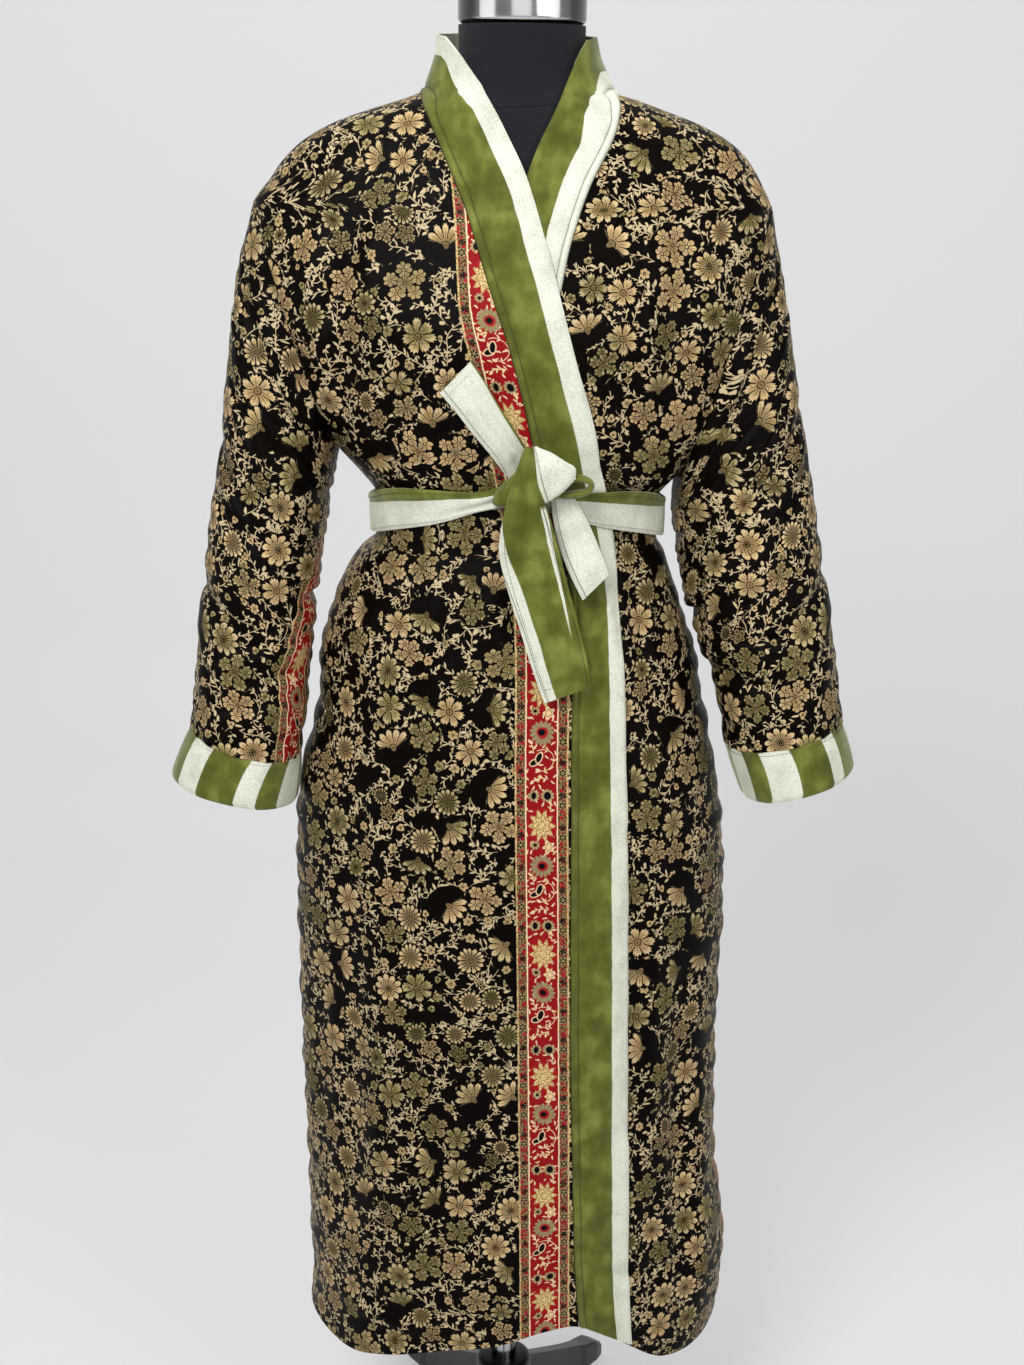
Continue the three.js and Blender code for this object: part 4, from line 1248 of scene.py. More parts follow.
# The small loop's way round, with its half width and half depth
LOOP = [
    (37, -127, 1096, 3.2, 5.5),
    (47, -129, 1098, 3.4, 6.5),
    (57, -128.5, 1098.5, 3.2, 7),
    (64.5, -126.5, 1096, 2.8, 6.5),
    (67, -125.5, 1091.5, 2.6, 6),
    (63.5, -126, 1087, 2.8, 6.5),
    (55, -128, 1085, 3.4, 7),
    (46, -127.5, 1083.5, 3.4, 6),
    (38, -125, 1084, 3, 4),
]


def loop(name, rows):
    """Belt folded lengthwise that runs out, turns back round its end and comes in beneath."""
    around, steps = 48, 80
    rings = smooth_rows(rows, steps)
    way = np.gradient(rings[:, [0, 2]], axis=0)
    way = (way / np.linalg.norm(way, axis=1)[:, None])[:, None, :]
    rings = rings[:, None, :]
    angle = np.linspace(-math.pi, math.pi, around + 1)[None, :]
    wide = rings[..., 3] * np.cos(angle) * (1 + 0.12 * np.cos(3 * angle))
    grid = np.stack([
        rings[..., 0] - way[..., 1] * wide,
        rings[..., 1] - rings[..., 4] * np.sin(angle),
        rings[..., 2] + way[..., 0] * wide,
    ], -1)
    return covered_tube(name, grid)


def roll(name, rows, pleats, twist, depth):
    """Belt rolled round a short path, with pleats that wind along it."""
    around, steps = 64, 60
    rings = smooth_rows(rows, steps)[:, None, :]
    angle = np.linspace(-math.pi, math.pi, around + 1)[None, :]
    along = np.linspace(0, 1, steps + 1)[:, None]
    pleat = 1 + depth * np.cos(pleats * angle + twist * along) + 0.4 * depth * np.cos(
        (pleats + 2) * angle - twist * along
    )
    grid = np.stack([
        rings[..., 0] + rings[..., 5] * np.sin(angle),
        rings[..., 1] - rings[..., 4] * power(np.cos(angle), 0.8) * pleat,
        rings[..., 2] + rings[..., 3] * power(np.sin(angle), 0.8) * pleat,
    ], -1)
    return covered_tube(name, grid)


def closed_tube(name, grid, uvs=None):
    """A solid from a tube's grid, whose first column is its last, closed by a fan at each end."""
    rows, cols = grid.shape[:2]
    points = list(grid.reshape(-1, 3))
    j, i = np.meshgrid(np.arange(rows - 1), np.arange(cols - 1), indexing="ij")
    a = (j * cols + i).ravel()
    faces = np.stack([a, a + 1, a + cols + 1, a + cols], 1).tolist()
    for j, turned in ((0, True), (rows - 1, False)):
        hub = len(points)
        points.append(grid[j, :-1].mean(axis=0))
        for i in range(cols - 1):
            a, b = j * cols + i, j * cols + i + 1
            faces.append([b, a, hub] if turned else [a, b, hub])
    if uvs is not None:
        uvs = np.concatenate([uvs.reshape(-1, 2), uvs[[0, -1], 0]])
    piece = new_mesh(name, points, faces, uvs)
    weld(piece)
    piece.data.set_sharp_from_angle(angle=SHARP)
    return piece


def covered_tube(name, grid):
    """A closed tube with its cut's coordinates: round its girth and up its middle column."""
    up = rise_lengths(grid, grid.shape[1] // 2)[:, None]
    uvs = np.stack(np.broadcast_arrays(run_lengths(grid), up), -1) * MM
    grid, uvs, _ = facing_out(grid, uvs)
    return closed_tube(name, grid, uvs)


def form():
    """The padded form, smooth and whole, up to the top of its neck."""
    heights = finer(FORM["height"], 7)
    angle = np.linspace(-math.pi, math.pi, 121)[None, :]
    half, front, back_reach = (
        curve(FORM, "height", heights, key)[:, None] for key in ("half", "front", "back")
    )
    reach = np.where(np.cos(angle) < 0, back_reach, front)
    grid = np.stack(np.broadcast_arrays(
        half * power(np.sin(angle), 2 / ROUNDNESS),
        -reach * power(np.cos(angle), 2 / ROUNDNESS),
        heights[:, None],
    ), -1)
    return covered_tube("form_cover", grid)


def turned_bar(name, radius, low, high, edge, around=96):
    """A bar turned round the pole's axis, closed at both ends by its flat faces."""
    core = 0.5
    profile = [(core, low)] + rounded(radius, low, high, edge) + [(core, high)]
    radius, height = (np.array(column)[:, None] for column in zip(*profile))
    angle = np.linspace(-math.pi, math.pi, around + 1)[None, :]
    grid = [radius * np.sin(angle), -radius * np.cos(angle), height]
    grid = np.stack(np.broadcast_arrays(*grid), -1)
    grid, _, _ = facing_out(grid)
    return closed_tube(name, grid)


def rounded(radius, low, high, edge, steps=6):
    """The profile of a turned bar with rounded edges."""
    quarter = [math.pi / 2 * k / steps for k in range(steps + 1)]
    foot = [(radius - edge + edge * math.sin(a), low + edge - edge * math.cos(a)) for a in quarter]
    head = [(radius - edge + edge * math.cos(a), high - edge + edge * math.sin(a)) for a in quarter]
    return foot + head


# Materials


class Number:
    """A number that the shader works out at each point, out of Math nodes."""

    def __init__(self, socket):
        self.socket = socket

    def __add__(self, other):
        return shade("ADD", self, other)

    def __sub__(self, other):
        return shade("SUBTRACT", self, other)

    def __rsub__(self, other):
        return shade("SUBTRACT", other, self)

    def __mul__(self, other):
        return shade("MULTIPLY", self, other)

    def __truediv__(self, other):
        return shade("DIVIDE", self, other)

    def __rtruediv__(self, other):
        return shade("DIVIDE", other, self)

    def __pow__(self, other):
        return shade("POWER", self, other)

    def __abs__(self):
        return shade("ABSOLUTE", self)

    __radd__ = __add__
    __rmul__ = __mul__


def tree_of(*values):
    return next(v.socket.id_data for v in values if isinstance(v, Number))


def feed(value, socket):
    if isinstance(value, Number):
        socket.id_data.links.new(value.socket, socket)
    else:
        socket.default_value = value


def shade(operation, *inputs):
    node = tree_of(*inputs).nodes.new("ShaderNodeMath")
    node.operation = operation
    for value, socket in zip(inputs, node.inputs):
        feed(value, socket)
    return Number(node.outputs[0])


def sine(a):
    return shade("SINE", a)


def part(a):
    return shade("FRACT", a)


def least(a, b):
    return shade("MINIMUM", a, b)


def most(a, b):
    return shade("MAXIMUM", a, b)


def length(x, y):
    return shade("SQRT", x * x + y * y)


def above(value, edge, soft):
    """1 where value is above edge, 0 below it, with a soft step between."""
    node = tree_of(value, edge).nodes.new("ShaderNodeMapRange")
    node.interpolation_type = "SMOOTHSTEP"
    feed(value, node.inputs["Value"])
    if isinstance(edge, Number):
        feed(edge - soft, node.inputs["From Min"])
        feed(edge + soft, node.inputs["From Max"])
    else:
        node.inputs["From Min"].default_value = edge - soft
        node.inputs["From Max"].default_value = edge + soft
    return Number(node.outputs["Result"])


def below(value, edge, soft):
    return 1 - above(value, edge, soft)


def near(value, half, soft):
    return 1 - above(abs(value), half, soft)


def blend(a, b, share):
    return a + (b - a) * share


def vector(x, y, z=0.0):
    node = tree_of(x, y, z).nodes.new("ShaderNodeCombineXYZ")
    for value, socket in zip((x, y, z), node.inputs):
        feed(value, socket)
    return Number(node.outputs[0])


def in_millimetres(x, y, z):
    return vector(x * 1000, y * 1000, z * 1000)


def apart(value):
    node = tree_of(value).nodes.new("ShaderNodeSeparateXYZ")
    feed(value, node.inputs[0])
    return [Number(socket) for socket in node.outputs]


def noise(place, size, detail=1.0, offset=0.0):
    """Soft noise from 0 to 1 with patches of about the given size."""
    tree = tree_of(place)
    node = tree.nodes.new("ShaderNodeTexNoise")
    node.inputs["Scale"].default_value = 1 / size
    node.inputs["Detail"].default_value = detail
    if offset:
        x, y, z = apart(place)
        place = vector(x, y, z + offset * size)
    feed(place, node.inputs["Vector"])
    return Number(node.outputs["Fac"])


def cells(x, y, size, randomness, seed):
    """Scattered places: the offset from the nearest one, its room, and three random numbers."""
    tree = tree_of(x)
    place = vector(x / size + seed, y / size + seed * 0.7)
    node = tree.nodes.new("ShaderNodeTexVoronoi")
    room = tree.nodes.new("ShaderNodeTexVoronoi")
    room.feature = "N_SPHERE_RADIUS"
    for made in (node, room):
        made.voronoi_dimensions = "2D"
        made.inputs["Scale"].default_value = 1
        made.inputs["Randomness"].default_value = randomness
        feed(place, made.inputs["Vector"])
    at_x, at_y, _ = apart(Number(node.outputs["Position"]))
    from_x, from_y, _ = apart(place)
    off_x, off_y = (from_x - at_x) * size, (from_y - at_y) * size
    radius = Number(room.outputs["Radius"]) * size
    return off_x, off_y, radius, apart(Number(node.outputs["Color"]))


def turned(x, y, turn):
    """The same place in axes turned by a share of a full turn."""
    turn = turn * math.tau
    if isinstance(turn, Number):
        cos, sin = shade("COSINE", turn), sine(turn)
    else:
        cos, sin = math.cos(turn), math.sin(turn)
    return x * cos + y * sin, y * cos - x * sin


SOFT = 0.28


def flower(x, y, reach, petals, gap, notch, inner):
    """A flower seen from above: its print and the fine dark lines drawn on it."""
    r = length(x, y)
    turn = shade("ARCTAN2", y, x) / math.tau + 0.5
    off = abs(part(turn * petals) * 2 - 1)
    petal_half = r * math.pi / petals
    rim = reach * (1 - off * off * 0.3) - notch * abs(sine(turn * petals * (2.5 * math.tau)))
    open_out = above((1 - off) * petal_half, gap, 0.18)
    body = below(r, rim, SOFT) * most(open_out, below(r, reach * 0.3, 0.2))
    vein = near(off * petal_half, 0.28, 0.18) * above(r, reach * 0.42, 0.3)
    vein = vein * below(r, reach * 0.74, 0.3)
    inner_off = abs(part(turn * petals + 0.5) * 2 - 1)
    inner_rim = reach * (0.62 - inner_off * inner_off * 0.2)
    inner_edge = near(r - inner_rim, 0.36, 0.18)
    inner_gap = below((1 - inner_off) * petal_half, 0.34, 0.16) * below(r, inner_rim, 0.2)
    eye = near(r - reach * 0.2, 0.45, 0.2)
    lines = most(vein * 0.7, most(eye, most(inner_edge, inner_gap) * inner))
    return body, lines


def chosen(pick, *values):
    """One of the values, by a random number from 0 to 1."""
    result = values[0]
    for k in range(1, len(values)):
        step = shade("GREATER_THAN", pick, k / len(values))
        result = blend(result, values[k], step)
    return result


def leaves(s, side, pitch, out, long, wide, size=1.0):
    """Pairs of leaves that slant forward from a stem, one pair to each pitch."""
    step = (part(s / pitch) - 0.5) * pitch
    a, b = (side * 0.74 + step * 0.67) / size, (step * 0.74 - side * 0.67) / size
    return below(length((a - out) / long, b / wide), 1, 0.17)


def stems(x, y, turn, apart_by, seed):
    """Meandering stems with pairs of leaves, in one main direction."""
    turn = turn * math.tau
    along = x * math.cos(turn) + y * math.sin(turn)
    off = y * math.cos(turn) - x * math.sin(turn)
    sway = sine(along / 12.5 + seed) * 5.2 + sine(along / 5.6 + seed * 2 + off / 21) * 1.5
    lane = (off + sway) / apart_by + seed
    d = (part(lane) - 0.5) * apart_by
    lane_number = shade("FLOOR", lane)
    s = along + lane_number * 5.7
    stem = near(d, 0.36, 0.2)
    side = abs(d)
    s = s + shade("GREATER_THAN", d, 0) * 4.9
    size = 0.7 + 0.5 * part(shade("FLOOR", s / 9.6) * 0.618 + lane_number * 0.37)
    broad = leaves(s, side, 9.6, 3.7, 3.2, 1.0, size)
    bristle = leaves(s + 1.1, side, 7.7, 2.8, 2.3, 0.6)
    chart = vector(s, lane_number * 37)
    leafy = above(noise(chart, 17, 0), 0.5, 0.02)
    kept = above(noise(chart, 30, 0, 0.3), 0.47, 0.015)
    return most(stem, blend(bristle, broad, leafy)) * kept


def sprig(x, y, reach):
    """A short curved twig with leaves that grow smaller towards its tip."""
    y = y - x * x * 0.035
    side = abs(y)
    size = 1.05 - abs(x + 3) / reach * 0.5
    step = x + shade("GREATER_THAN", y, 0) * 2.9
    twig = most(near(y, 0.36, 0.18), leaves(step, side, 5.6, 2.9, 2.5, 0.9, size))
    bud = below(length((x - reach + 1.6) / 2.2, y / 1.3), 1, 0.17)
    return most(twig * below(abs(x), reach - 1.5, 0.4), bud)


def tendril(x, y, bend):
    """A curling stem with a bud at its end and small leaves along it."""
    r = length(x, y)
    turn = shade("ARCTAN2", y, x) / math.tau + 0.5
    off = abs(r - bend)
    leaf = leaves(turn * (math.tau * bend), off, math.tau * bend / 5, 2.3, 1.9, 0.7)
    bud = below(length((x + bend) / 1.5, (y + 1.4) / 2.3), 1, 0.17)
    return most(most(near(off, 0.34, 0.18), leaf) * below(turn, 0.66, 0.01), bud)


def group(name, inputs, outputs):
    """A node group with its sockets, as its tree, its inputs as Numbers and its output node."""
    made = bpy.data.node_groups.new(name, "ShaderNodeTree")
    for label, kind in inputs:
        made.interface.new_socket(label, in_out="INPUT", socket_type="NodeSocket" + kind)
    for label, kind in outputs:
        made.interface.new_socket(label, in_out="OUTPUT", socket_type="NodeSocket" + kind)
    source, sink = made.nodes.new("NodeGroupInput"), made.nodes.new("NodeGroupOutput")
    return made, [Number(socket) for socket in source.outputs[:-1]], sink


def tint(low, high, share):
    """A colour between two others."""
    node = tree_of(low, high, share).nodes.new("ShaderNodeMix")
    node.data_type = "RGBA"
    feed(share, node.inputs["Factor"])
    for value, socket in ((low, node.inputs[6]), (high, node.inputs[7])):
        if isinstance(value, str):
            socket.default_value = (*linear(value), 1)
        else:
            feed(value, socket)
    return Number(node.outputs[2])


def linear(code):
    """A colour from its web code, as linear numbers."""
    values = [int(code[k : k + 2], 16) / 255 for k in (1, 3, 5)]
    return [v / 12.92 if v <= 0.04045 else ((v + 0.055) / 1.055) ** 2.4 for v in values]


def flower_print():
    """The sateen's print: its colour and how much of the place is printed."""
    made, (place,), sink = group(
        "flower_print", [("Cut", "Vector")], [("Color", "Color"), ("Printed", "Float")]
    )
    x, y, _ = apart(place)
    x, y = x * 1000, y * 1000
    mm = vector(x, y)
    x = x + (noise(mm, 13, 1.0, 1.5) - 0.5) * 4.4
    y = y + (noise(mm, 13, 1.0, 4.5) - 0.5) * 4.4

    big_x, big_y, room, (kind, angle, hue) = cells(x, y, 39, 0.75, 3.3)
    big_x, big_y = turned(big_x, big_y, angle)
    big_x = big_x * (1 + 0.16 * part(hue * 7.3))
    reach = least(
        room * (1.12 + 0.3 * above(kind, 0.5, 0.01) * below(kind, 0.667, 0.01)),
        chosen(kind, 13.5, 15.5, 16.5, 20.0, 21.0, 22.0),
    )
    spray = shade("GREATER_THAN", kind, 0.667)
    r = length(big_x, big_y)
    fold = (part(shade("ARCTAN2", big_y, big_x) / math.tau * 5 + 0.5) - 0.5) / 5 * math.tau
    ring_x, ring_y = r * shade("COSINE", fold) - reach * 0.62, r * shade("SINE", fold)
    middle = shade("LESS_THAN", r, reach * 0.31)
    ring_x, ring_y = blend(ring_x, big_x, middle), blend(ring_y, big_y, middle)
    fan = shade("GREATER_THAN", kind, 0.5) * (1 - spray)
    big_x = big_x + fan * 6
    fx, fy = blend(big_x, ring_x, spray), blend(big_y, ring_y, spray)
    body, lines = flower(
        fx,
        fy,
        reach * (1 - spray * 0.64),
        chosen(kind, 15.0, 10.0, 7.0, 13.0, 7.0, 6.0),
        chosen(kind, 0.55, 0.4, 0.6, 0.45, 0.38, 0.4),
        chosen(kind, 1.0, 0.9, 2.2, 1.8, 0.5, 0.4),
        chosen(kind, 0.6, 1.0, 0.6, 0.5, 0.0, 0.0),
    )
    r = length(big_x, big_y)
    opened = above(big_x / most(r, 0.1), 0.3, 0.05)
    cup = below(length((big_x - 1.5) / 4.6, big_y / 2.4), 1, 0.15)
    body = blend(body, most(body * opened, cup), fan)
    clear = above(r, reach * 1.02 + 0.5, 0.4)

    small_x, small_y, small_room, (small_kind, small_angle, _) = cells(x, y, 16.5, 0.85, 8.1)
    small_x, small_y = turned(small_x, small_y, small_angle)
    twigs = shade("GREATER_THAN", small_kind, 0.5)
    small_reach = least(small_room, chosen(small_kind, 4.7, 3.4, 9.0, 9.0))
    small_body, small_lines = flower(
        small_x, small_y, small_reach, chosen(small_kind, 6.0, 3.0, 5.0, 5.0), 0.2, 0.0, 0.0
    )
    small_body = small_body * clear * (1 - twigs)
    twig = sprig(small_x, small_y, small_reach) * clear * twigs
    small_clear = above(length(small_x, small_y), small_reach * (1 - twigs * 0.7) + 0.6, 0.3)

    branches = most(
        stems(x, y, 0.165, 23.0, 0.3),
        most(stems(x, y, -0.07, 27.0, 1.9), stems(x, y, 0.36, 33.0, 4.4)),
    )
    curl_x, curl_y, _, (_, curl_angle, _) = cells(x, y, 36, 0.8, 6.6)
    curl_x, curl_y = turned(curl_x, curl_y, curl_angle)
    branches = most(branches, tendril(curl_x, curl_y, 7.4))
    branches = most(branches * clear * small_clear, twig)
    printed = most(most(body * (1 - lines), small_body * (1 - small_lines)), branches)

    patch = noise(mm, 46, 1.0)
    olive = above(hue * 0.6 + patch * 0.8, 0.72, 0.16)
    worn = noise(mm, 4.5, 2.0, 3.0)
    ink = tint("#b3976b", "#7a7044", olive)
    ink = tint(ink, "#cbb58c", above(worn, 0.57, 0.1) * 0.5)
    ink = tint(ink, "#4a3c1a", (1 - above(r / reach, 0.45, 0.45)) * body * 0.6)
    ink = tint(ink, "#ccb890", above(r / reach, 0.8, 0.14) * (1 - spray) * body * 0.5)
    ink = tint(ink, "#b8a682", branches)
    ground = tint("#040201", "#090604", noise(mm, 8, 1.0, 7.0))
    dark_line = tint(ground, "#20170a", most(body, small_body) * most(lines, small_lines))
    colour = tint(dark_line, ink, printed)
    feed(colour, sink.inputs["Color"])
    feed(printed, sink.inputs["Printed"])
    return made


BORDER_REPEAT = 129.0


def border_print():
    """The woven-looking red border: a flowered centre between two narrow bands and cream lines."""
    made, (place,), sink = group(
        "border_print", [("Border", "Vector")], [("Color", "Color"), ("Here", "Float")]
    )
    x, y, _ = apart(place)
    x, y = x * 1000, y * 1000
    rough = vector(x, y)
    x = x + (noise(rough, 9, 1.0) - 0.5) * 1.1
    y = y + (noise(rough, 9, 1.0, 3.0) - 0.5) * 1.6
    down = y / -BORDER_REPEAT
    middle = x - 25

    def at(share, across):
        """Offsets in millimetres from a place in the repeat."""
        return middle - across, (part(down - share + 0.5) - 0.5) * -BORDER_REPEAT

    def disc(share, across, wide, tall, soft=0.12):
        ox, oy = at(share, across)
        return below(length(ox / wide, oy / tall), 1, soft)

    def posy(share, across, reach, petals):
        ox, oy = at(share, across)
        return flower(ox, oy, reach, petals, 0.16, 0.0, 0.0)[0]

    def leaf(share, across, turn, long, wide, more=0.0):
        ox, oy = turned(*at(share, across), turn)
        return below(length(ox / (long + more), oy / (wide + more)), 1, 0.1)

    def tips(ox, oy, points, depth):
        """How far a pointed flower reaches at each turn, as a share of its longest petals."""
        turn = shade("ARCTAN2", oy, ox) / math.tau + 0.5
        return 1 - depth * (1 - abs(part(turn * points) * 2 - 1))

    colour = tint("#740f13", "#93171c", noise(rough, 3, 2.0, 5.0))
    cream, olive, black = "#d3b98e", "#857b57", "#0b0a0c"

    fill_x, fill_y, _, (_, fill_turn, _) = cells(x, y, 8.2, 0.85, 2.2)
    fill_x, fill_y = turned(fill_x, fill_y, fill_turn)
    filling = below(length(fill_x / 2.5, (fill_y - fill_x * fill_x * 0.08) / 0.75), 1, 0.15)
    scroll = tendril(*turned(*at(0.73, 0.5), 0.17), 10.6)
    fern = sprig(*turned(*at(0.87, -2), 0.53), 9.0)
    low_fern = sprig(*turned(*at(0.1, 8.5), 0.23), 8.0)
    top_fern = sprig(*turned(*at(0.63, -8.5), 0.3), 7.0)
    cream_parts = most(most(scroll, most(fern, filling)), most(low_fern, top_fern))
    colour = tint(colour, cream, cream_parts)
    ox, oy = at(0.225, 0)
    oy = oy / 1.25
    r = length(ox, oy)
    outer, inner = tips(ox, oy, 10, 0.4) * 13.0, tips(ox, oy, 7, 0.38) * 8.6
    lotus_lines = most(
        near(r - inner, 0.45, 0.2),
        most(near(r - inner * 0.5, 0.35, 0.2), near(r - outer * 0.94, 0.3, 0.2)),
    )
    colour = tint(colour, "#8d171b", below(r, 14.0, 0.4))
    gold = tint("#a98a55", "#d8bd88", above(noise(rough, 1.6, 1.0, 6.0), 0.5, 0.1))
    colour = tint(colour, tint(gold, "#5d3a1b", lotus_lines * 0.8), below(r, outer, 0.3))
    pair = most(posy(0.0, -7.2, 5.8, 9.0), posy(0.0, 5.4, 6.3, 10.0))
    colour = tint(colour, "#988a62", most(pair, posy(0.37, -6.4, 4.3, 8.0)))
    bud_x, bud_y = at(0.385, 6.2)
    bud_r = length(bud_x, bud_y / 1.3)
    bud = tips(bud_x, bud_y, 5, 0.5) * 6.0
    bud_colour = tint("#d3b98e", "#8d5a34", near(bud_r - bud * 0.55, 0.4, 0.2))
    colour = tint(colour, bud_colour, below(bud_r, bud, 0.3))
    colour = tint(colour, olive, posy(0.53, 0, 11.6, 15.0))
    colour = tint(colour, "#8e1b20", disc(0.53, 0.4, 5.2, 5.0))
    for shape in ((0.75, -6.6, 0.06, 4.6, 2.3), (0.715, -2.6, 0.2, 5.0, 2.5)):
        colour = tint(colour, cream, leaf(*shape, 1.0))
        colour = tint(colour, black, leaf(*shape))
    dots = most(disc(0.0, -7.2, 2.5, 3.7), disc(0.0, 5.4, 3.3, 3.8))
    dots = most(dots, most(disc(0.37, -6.4, 1.6, 1.6), disc(0.53, -0.2, 3.1, 2.8)))
    colour = tint(colour, black, dots)

    beside = shade("PINGPONG", x, 24.7)
    left = shade("LESS_THAN", x, 24.7)
    beside = blend(49.6 - x, x, left)
    band_y = y + left * 7
    mottled = noise(rough, 2.2, 1.0, 9.0)
    spot_x, spot_y, _, (spot_pick, _, _) = cells(x, y, 4.6, 0.9, 2.2)
    spots = below(length(spot_x, spot_y), 0.7 + spot_pick * 1.5, 0.3)
    side = tint("#5a3b27", "#7d6c48", above(mottled, 0.5, 0.08))
    side = tint(side, "#971f26", spots)
    side = tint(side, "#2a1a12", below(mottled, 0.4, 0.05))
    star_y = (part(band_y / 31) - 0.5) * 31
    star = flower(beside - 5.2, star_y, 3.6, 6.0, 0.3, 0.0, 0.0)[0]
    dot = flower(beside - 5.6, star_y - 9.6, 3.1, 5.0, 0.25, 0.0, 0.0)[0]
    side = tint(side, "#8f7d55", below(length(beside - 5.2, star_y), 4.1, 0.3))
    side = tint(side, "#0c0a0a", most(star, dot))
    side = tint(side, "#8f7d55", below(length(beside - 5.2, star_y), 1.0, 0.2))
    colour = tint(colour, side, below(beside, 9.4, 0.2))
    colour = tint(colour, "#dcc49c", near(beside - 10.1, 0.6, 0.15))
    edge_line = tint("#c4a877", "#8b7747", below(mottled, 0.47, 0.08))
    colour = tint(colour, edge_line, near(beside - 0.7, 0.85, 0.2))
    worn = noise(rough, 1.4, 2.0, 4.0)
    colour = tint(colour, "#0f0a0a", below(worn, 0.36, 0.08) * 0.4)
    feed(colour, sink.inputs["Color"])
    feed(shade("LESS_THAN", x, 49.8) * shade("GREATER_THAN", x, 0), sink.inputs["Here"])
    return made


def velvet_nap():
    """Crushed velvet, green or silver by its mask: colour, height and roughness."""
    made, (place, green), sink = group(
        "velvet_nap",
        [("Place", "Vector"), ("Green", "Float")],
        [("Color", "Color"), ("Height", "Float"), ("Roughness", "Float")],
    )
    x, y, z = apart(place)
    mm = in_millimetres(x, y, z)
    brushed = noise(vector(x * 1000, y * 1000, z * 560), 17, 2.0)
    streak = noise(vector(x * 1000, y * 1000, z * 1500), 26, 1.0, 2.0)
    pile = noise(mm, 1.1, 2.0, 5.0)
    speck = noise(mm, 0.7, 1.0, 8.0)
    lay = brushed * 0.65 + streak * 0.35
    leaf = tint("#45480f", "#5f6322", above(lay, 0.46, 0.16))
    leaf = tint(leaf, "#7f8340", above(lay, 0.6, 0.12) * 0.6)
    leaf = tint(leaf, "#2c360a", below(pile, 0.42, 0.1) * 0.35)
    silver = tint("#b3b5a4", "#cccebe", above(lay, 0.46, 0.14))
    silver = tint(silver, "#dddfce", above(speck, 0.54, 0.09) * 0.6)
    silver = tint(silver, "#8d907f", below(speck, 0.42, 0.08) * 0.5)
    feed(tint(silver, leaf, green), sink.inputs["Color"])
    feed(pile * 0.5 + lay * 0.5 + speck * 0.15, sink.inputs["Height"])
    feed(0.78 - 0.2 * (lay - 0.5), sink.inputs["Roughness"])
    return made


def group_node(tree, made, **inputs):
    """A node of the group, with its outputs as Numbers by name."""
    node = tree.nodes.new("ShaderNodeGroup")
    node.node_tree = made
    for name, value in inputs.items():
        feed(value, node.inputs[name])
    return {socket.name: Number(socket) for socket in node.outputs}


def new_material(name):
    material = bpy.data.materials.new(name)
    material.use_nodes = True
    tree = material.node_tree
    tree.nodes.clear()
    out = tree.nodes.new("ShaderNodeOutputMaterial")
    shader = tree.nodes.new("ShaderNodeBsdfPrincipled")
    tree.links.new(shader.outputs[0], out.inputs["Surface"])
    return material, tree, shader


def map_place(tree, name):
    """The piece's own coordinates: a map by its name, or its object coordinates."""
    if name == "Object":
        return Number(tree.nodes.new("ShaderNodeTexCoord").outputs["Object"])
    node = tree.nodes.new("ShaderNodeUVMap")
    node.uv_map = name
    return Number(node.outputs["UV"])


def raise_by(tree, shader, height, distance, strength=1.0):
    bump = tree.nodes.new("ShaderNodeBump")
    bump.inputs["Strength"].default_value = strength
    bump.inputs["Distance"].default_value = distance
    feed(height, bump.inputs["Height"])
    tree.links.new(bump.outputs[0], shader.inputs["Normal"])


def stripe_edge(tree, across, edge):
    """1 on the low side of a stripe's woven edge, which wavers a little."""
    # Times 1 makes one number of the place, so that the edge wavers evenly along it
    uneven = noise(map_place(tree, "Object") * 1, 0.009, 1.0)
    return below(across + (uneven - 0.5) * 1.6, edge, 0.45)


def velvet(name, green_at, shaded_seam_insets=()):
    """Striped velvet. green_at gives the green share from the cut's coordinates in millimetres."""
    material, tree, shader = new_material(name)
    across, along, _ = apart(map_place(tree, "Cut"))
    across, along = across * 1000, along * 1000
    nap = group_node(
        tree, nap_group, Place=map_place(tree, "Object"), Green=green_at(tree, across, along)
    )
    colour = nap["Color"]
    # Painted shade: the colour is darkened in lines along the seam and the stitched groove beside
    # it, where they lie in shadow
    for inset in shaded_seam_insets:
        painted_seam_shade = near(across - inset, 0.4, 0.4)
        colour = tint(colour, "#191c08", painted_seam_shade * 0.72)
    feed(colour, shader.inputs["Base Color"])
    feed(nap["Roughness"], shader.inputs["Roughness"])
    shader.inputs["Specular IOR Level"].default_value = 0.18
    shader.inputs["Sheen Weight"].default_value = 0.5
    shader.inputs["Sheen Roughness"].default_value = 0.4
    shader.inputs["Sheen Tint"].default_value = (0.86, 0.9, 0.7, 1)
    raise_by(tree, shader, nap["Height"], 0.0007, 0.7)
    return material


def sateen_cloth():
    material, tree, shader = new_material("printed_sateen")
    cut = map_place(tree, "Cut")
    flowers = group_node(tree, flower_print(), Cut=cut)
    border = group_node(tree, border_print(), Border=map_place(tree, "Border"))
    colour = tint(flowers["Color"], border["Color"], border["Here"])
    feed(colour, shader.inputs["Base Color"])
    x, y, _ = apart(cut)
    weave = sine(x * 8200) * 0.5 + sine(y * 5400 + sine(x * 4100)) * 0.5
    slub = noise(vector(x * 120, y * 900), 1, 2.0)
    gloss = 0.36 + 0.1 * flowers["Printed"] + (noise(cut, 0.03, 1.0) - 0.5) * 0.12
    feed(gloss, shader.inputs["Roughness"])
    shader.inputs["Specular IOR Level"].default_value = 0.03
    raise_by(tree, shader, weave * 0.3 + slub * 0.5, 0.00022, 0.8)
    return material


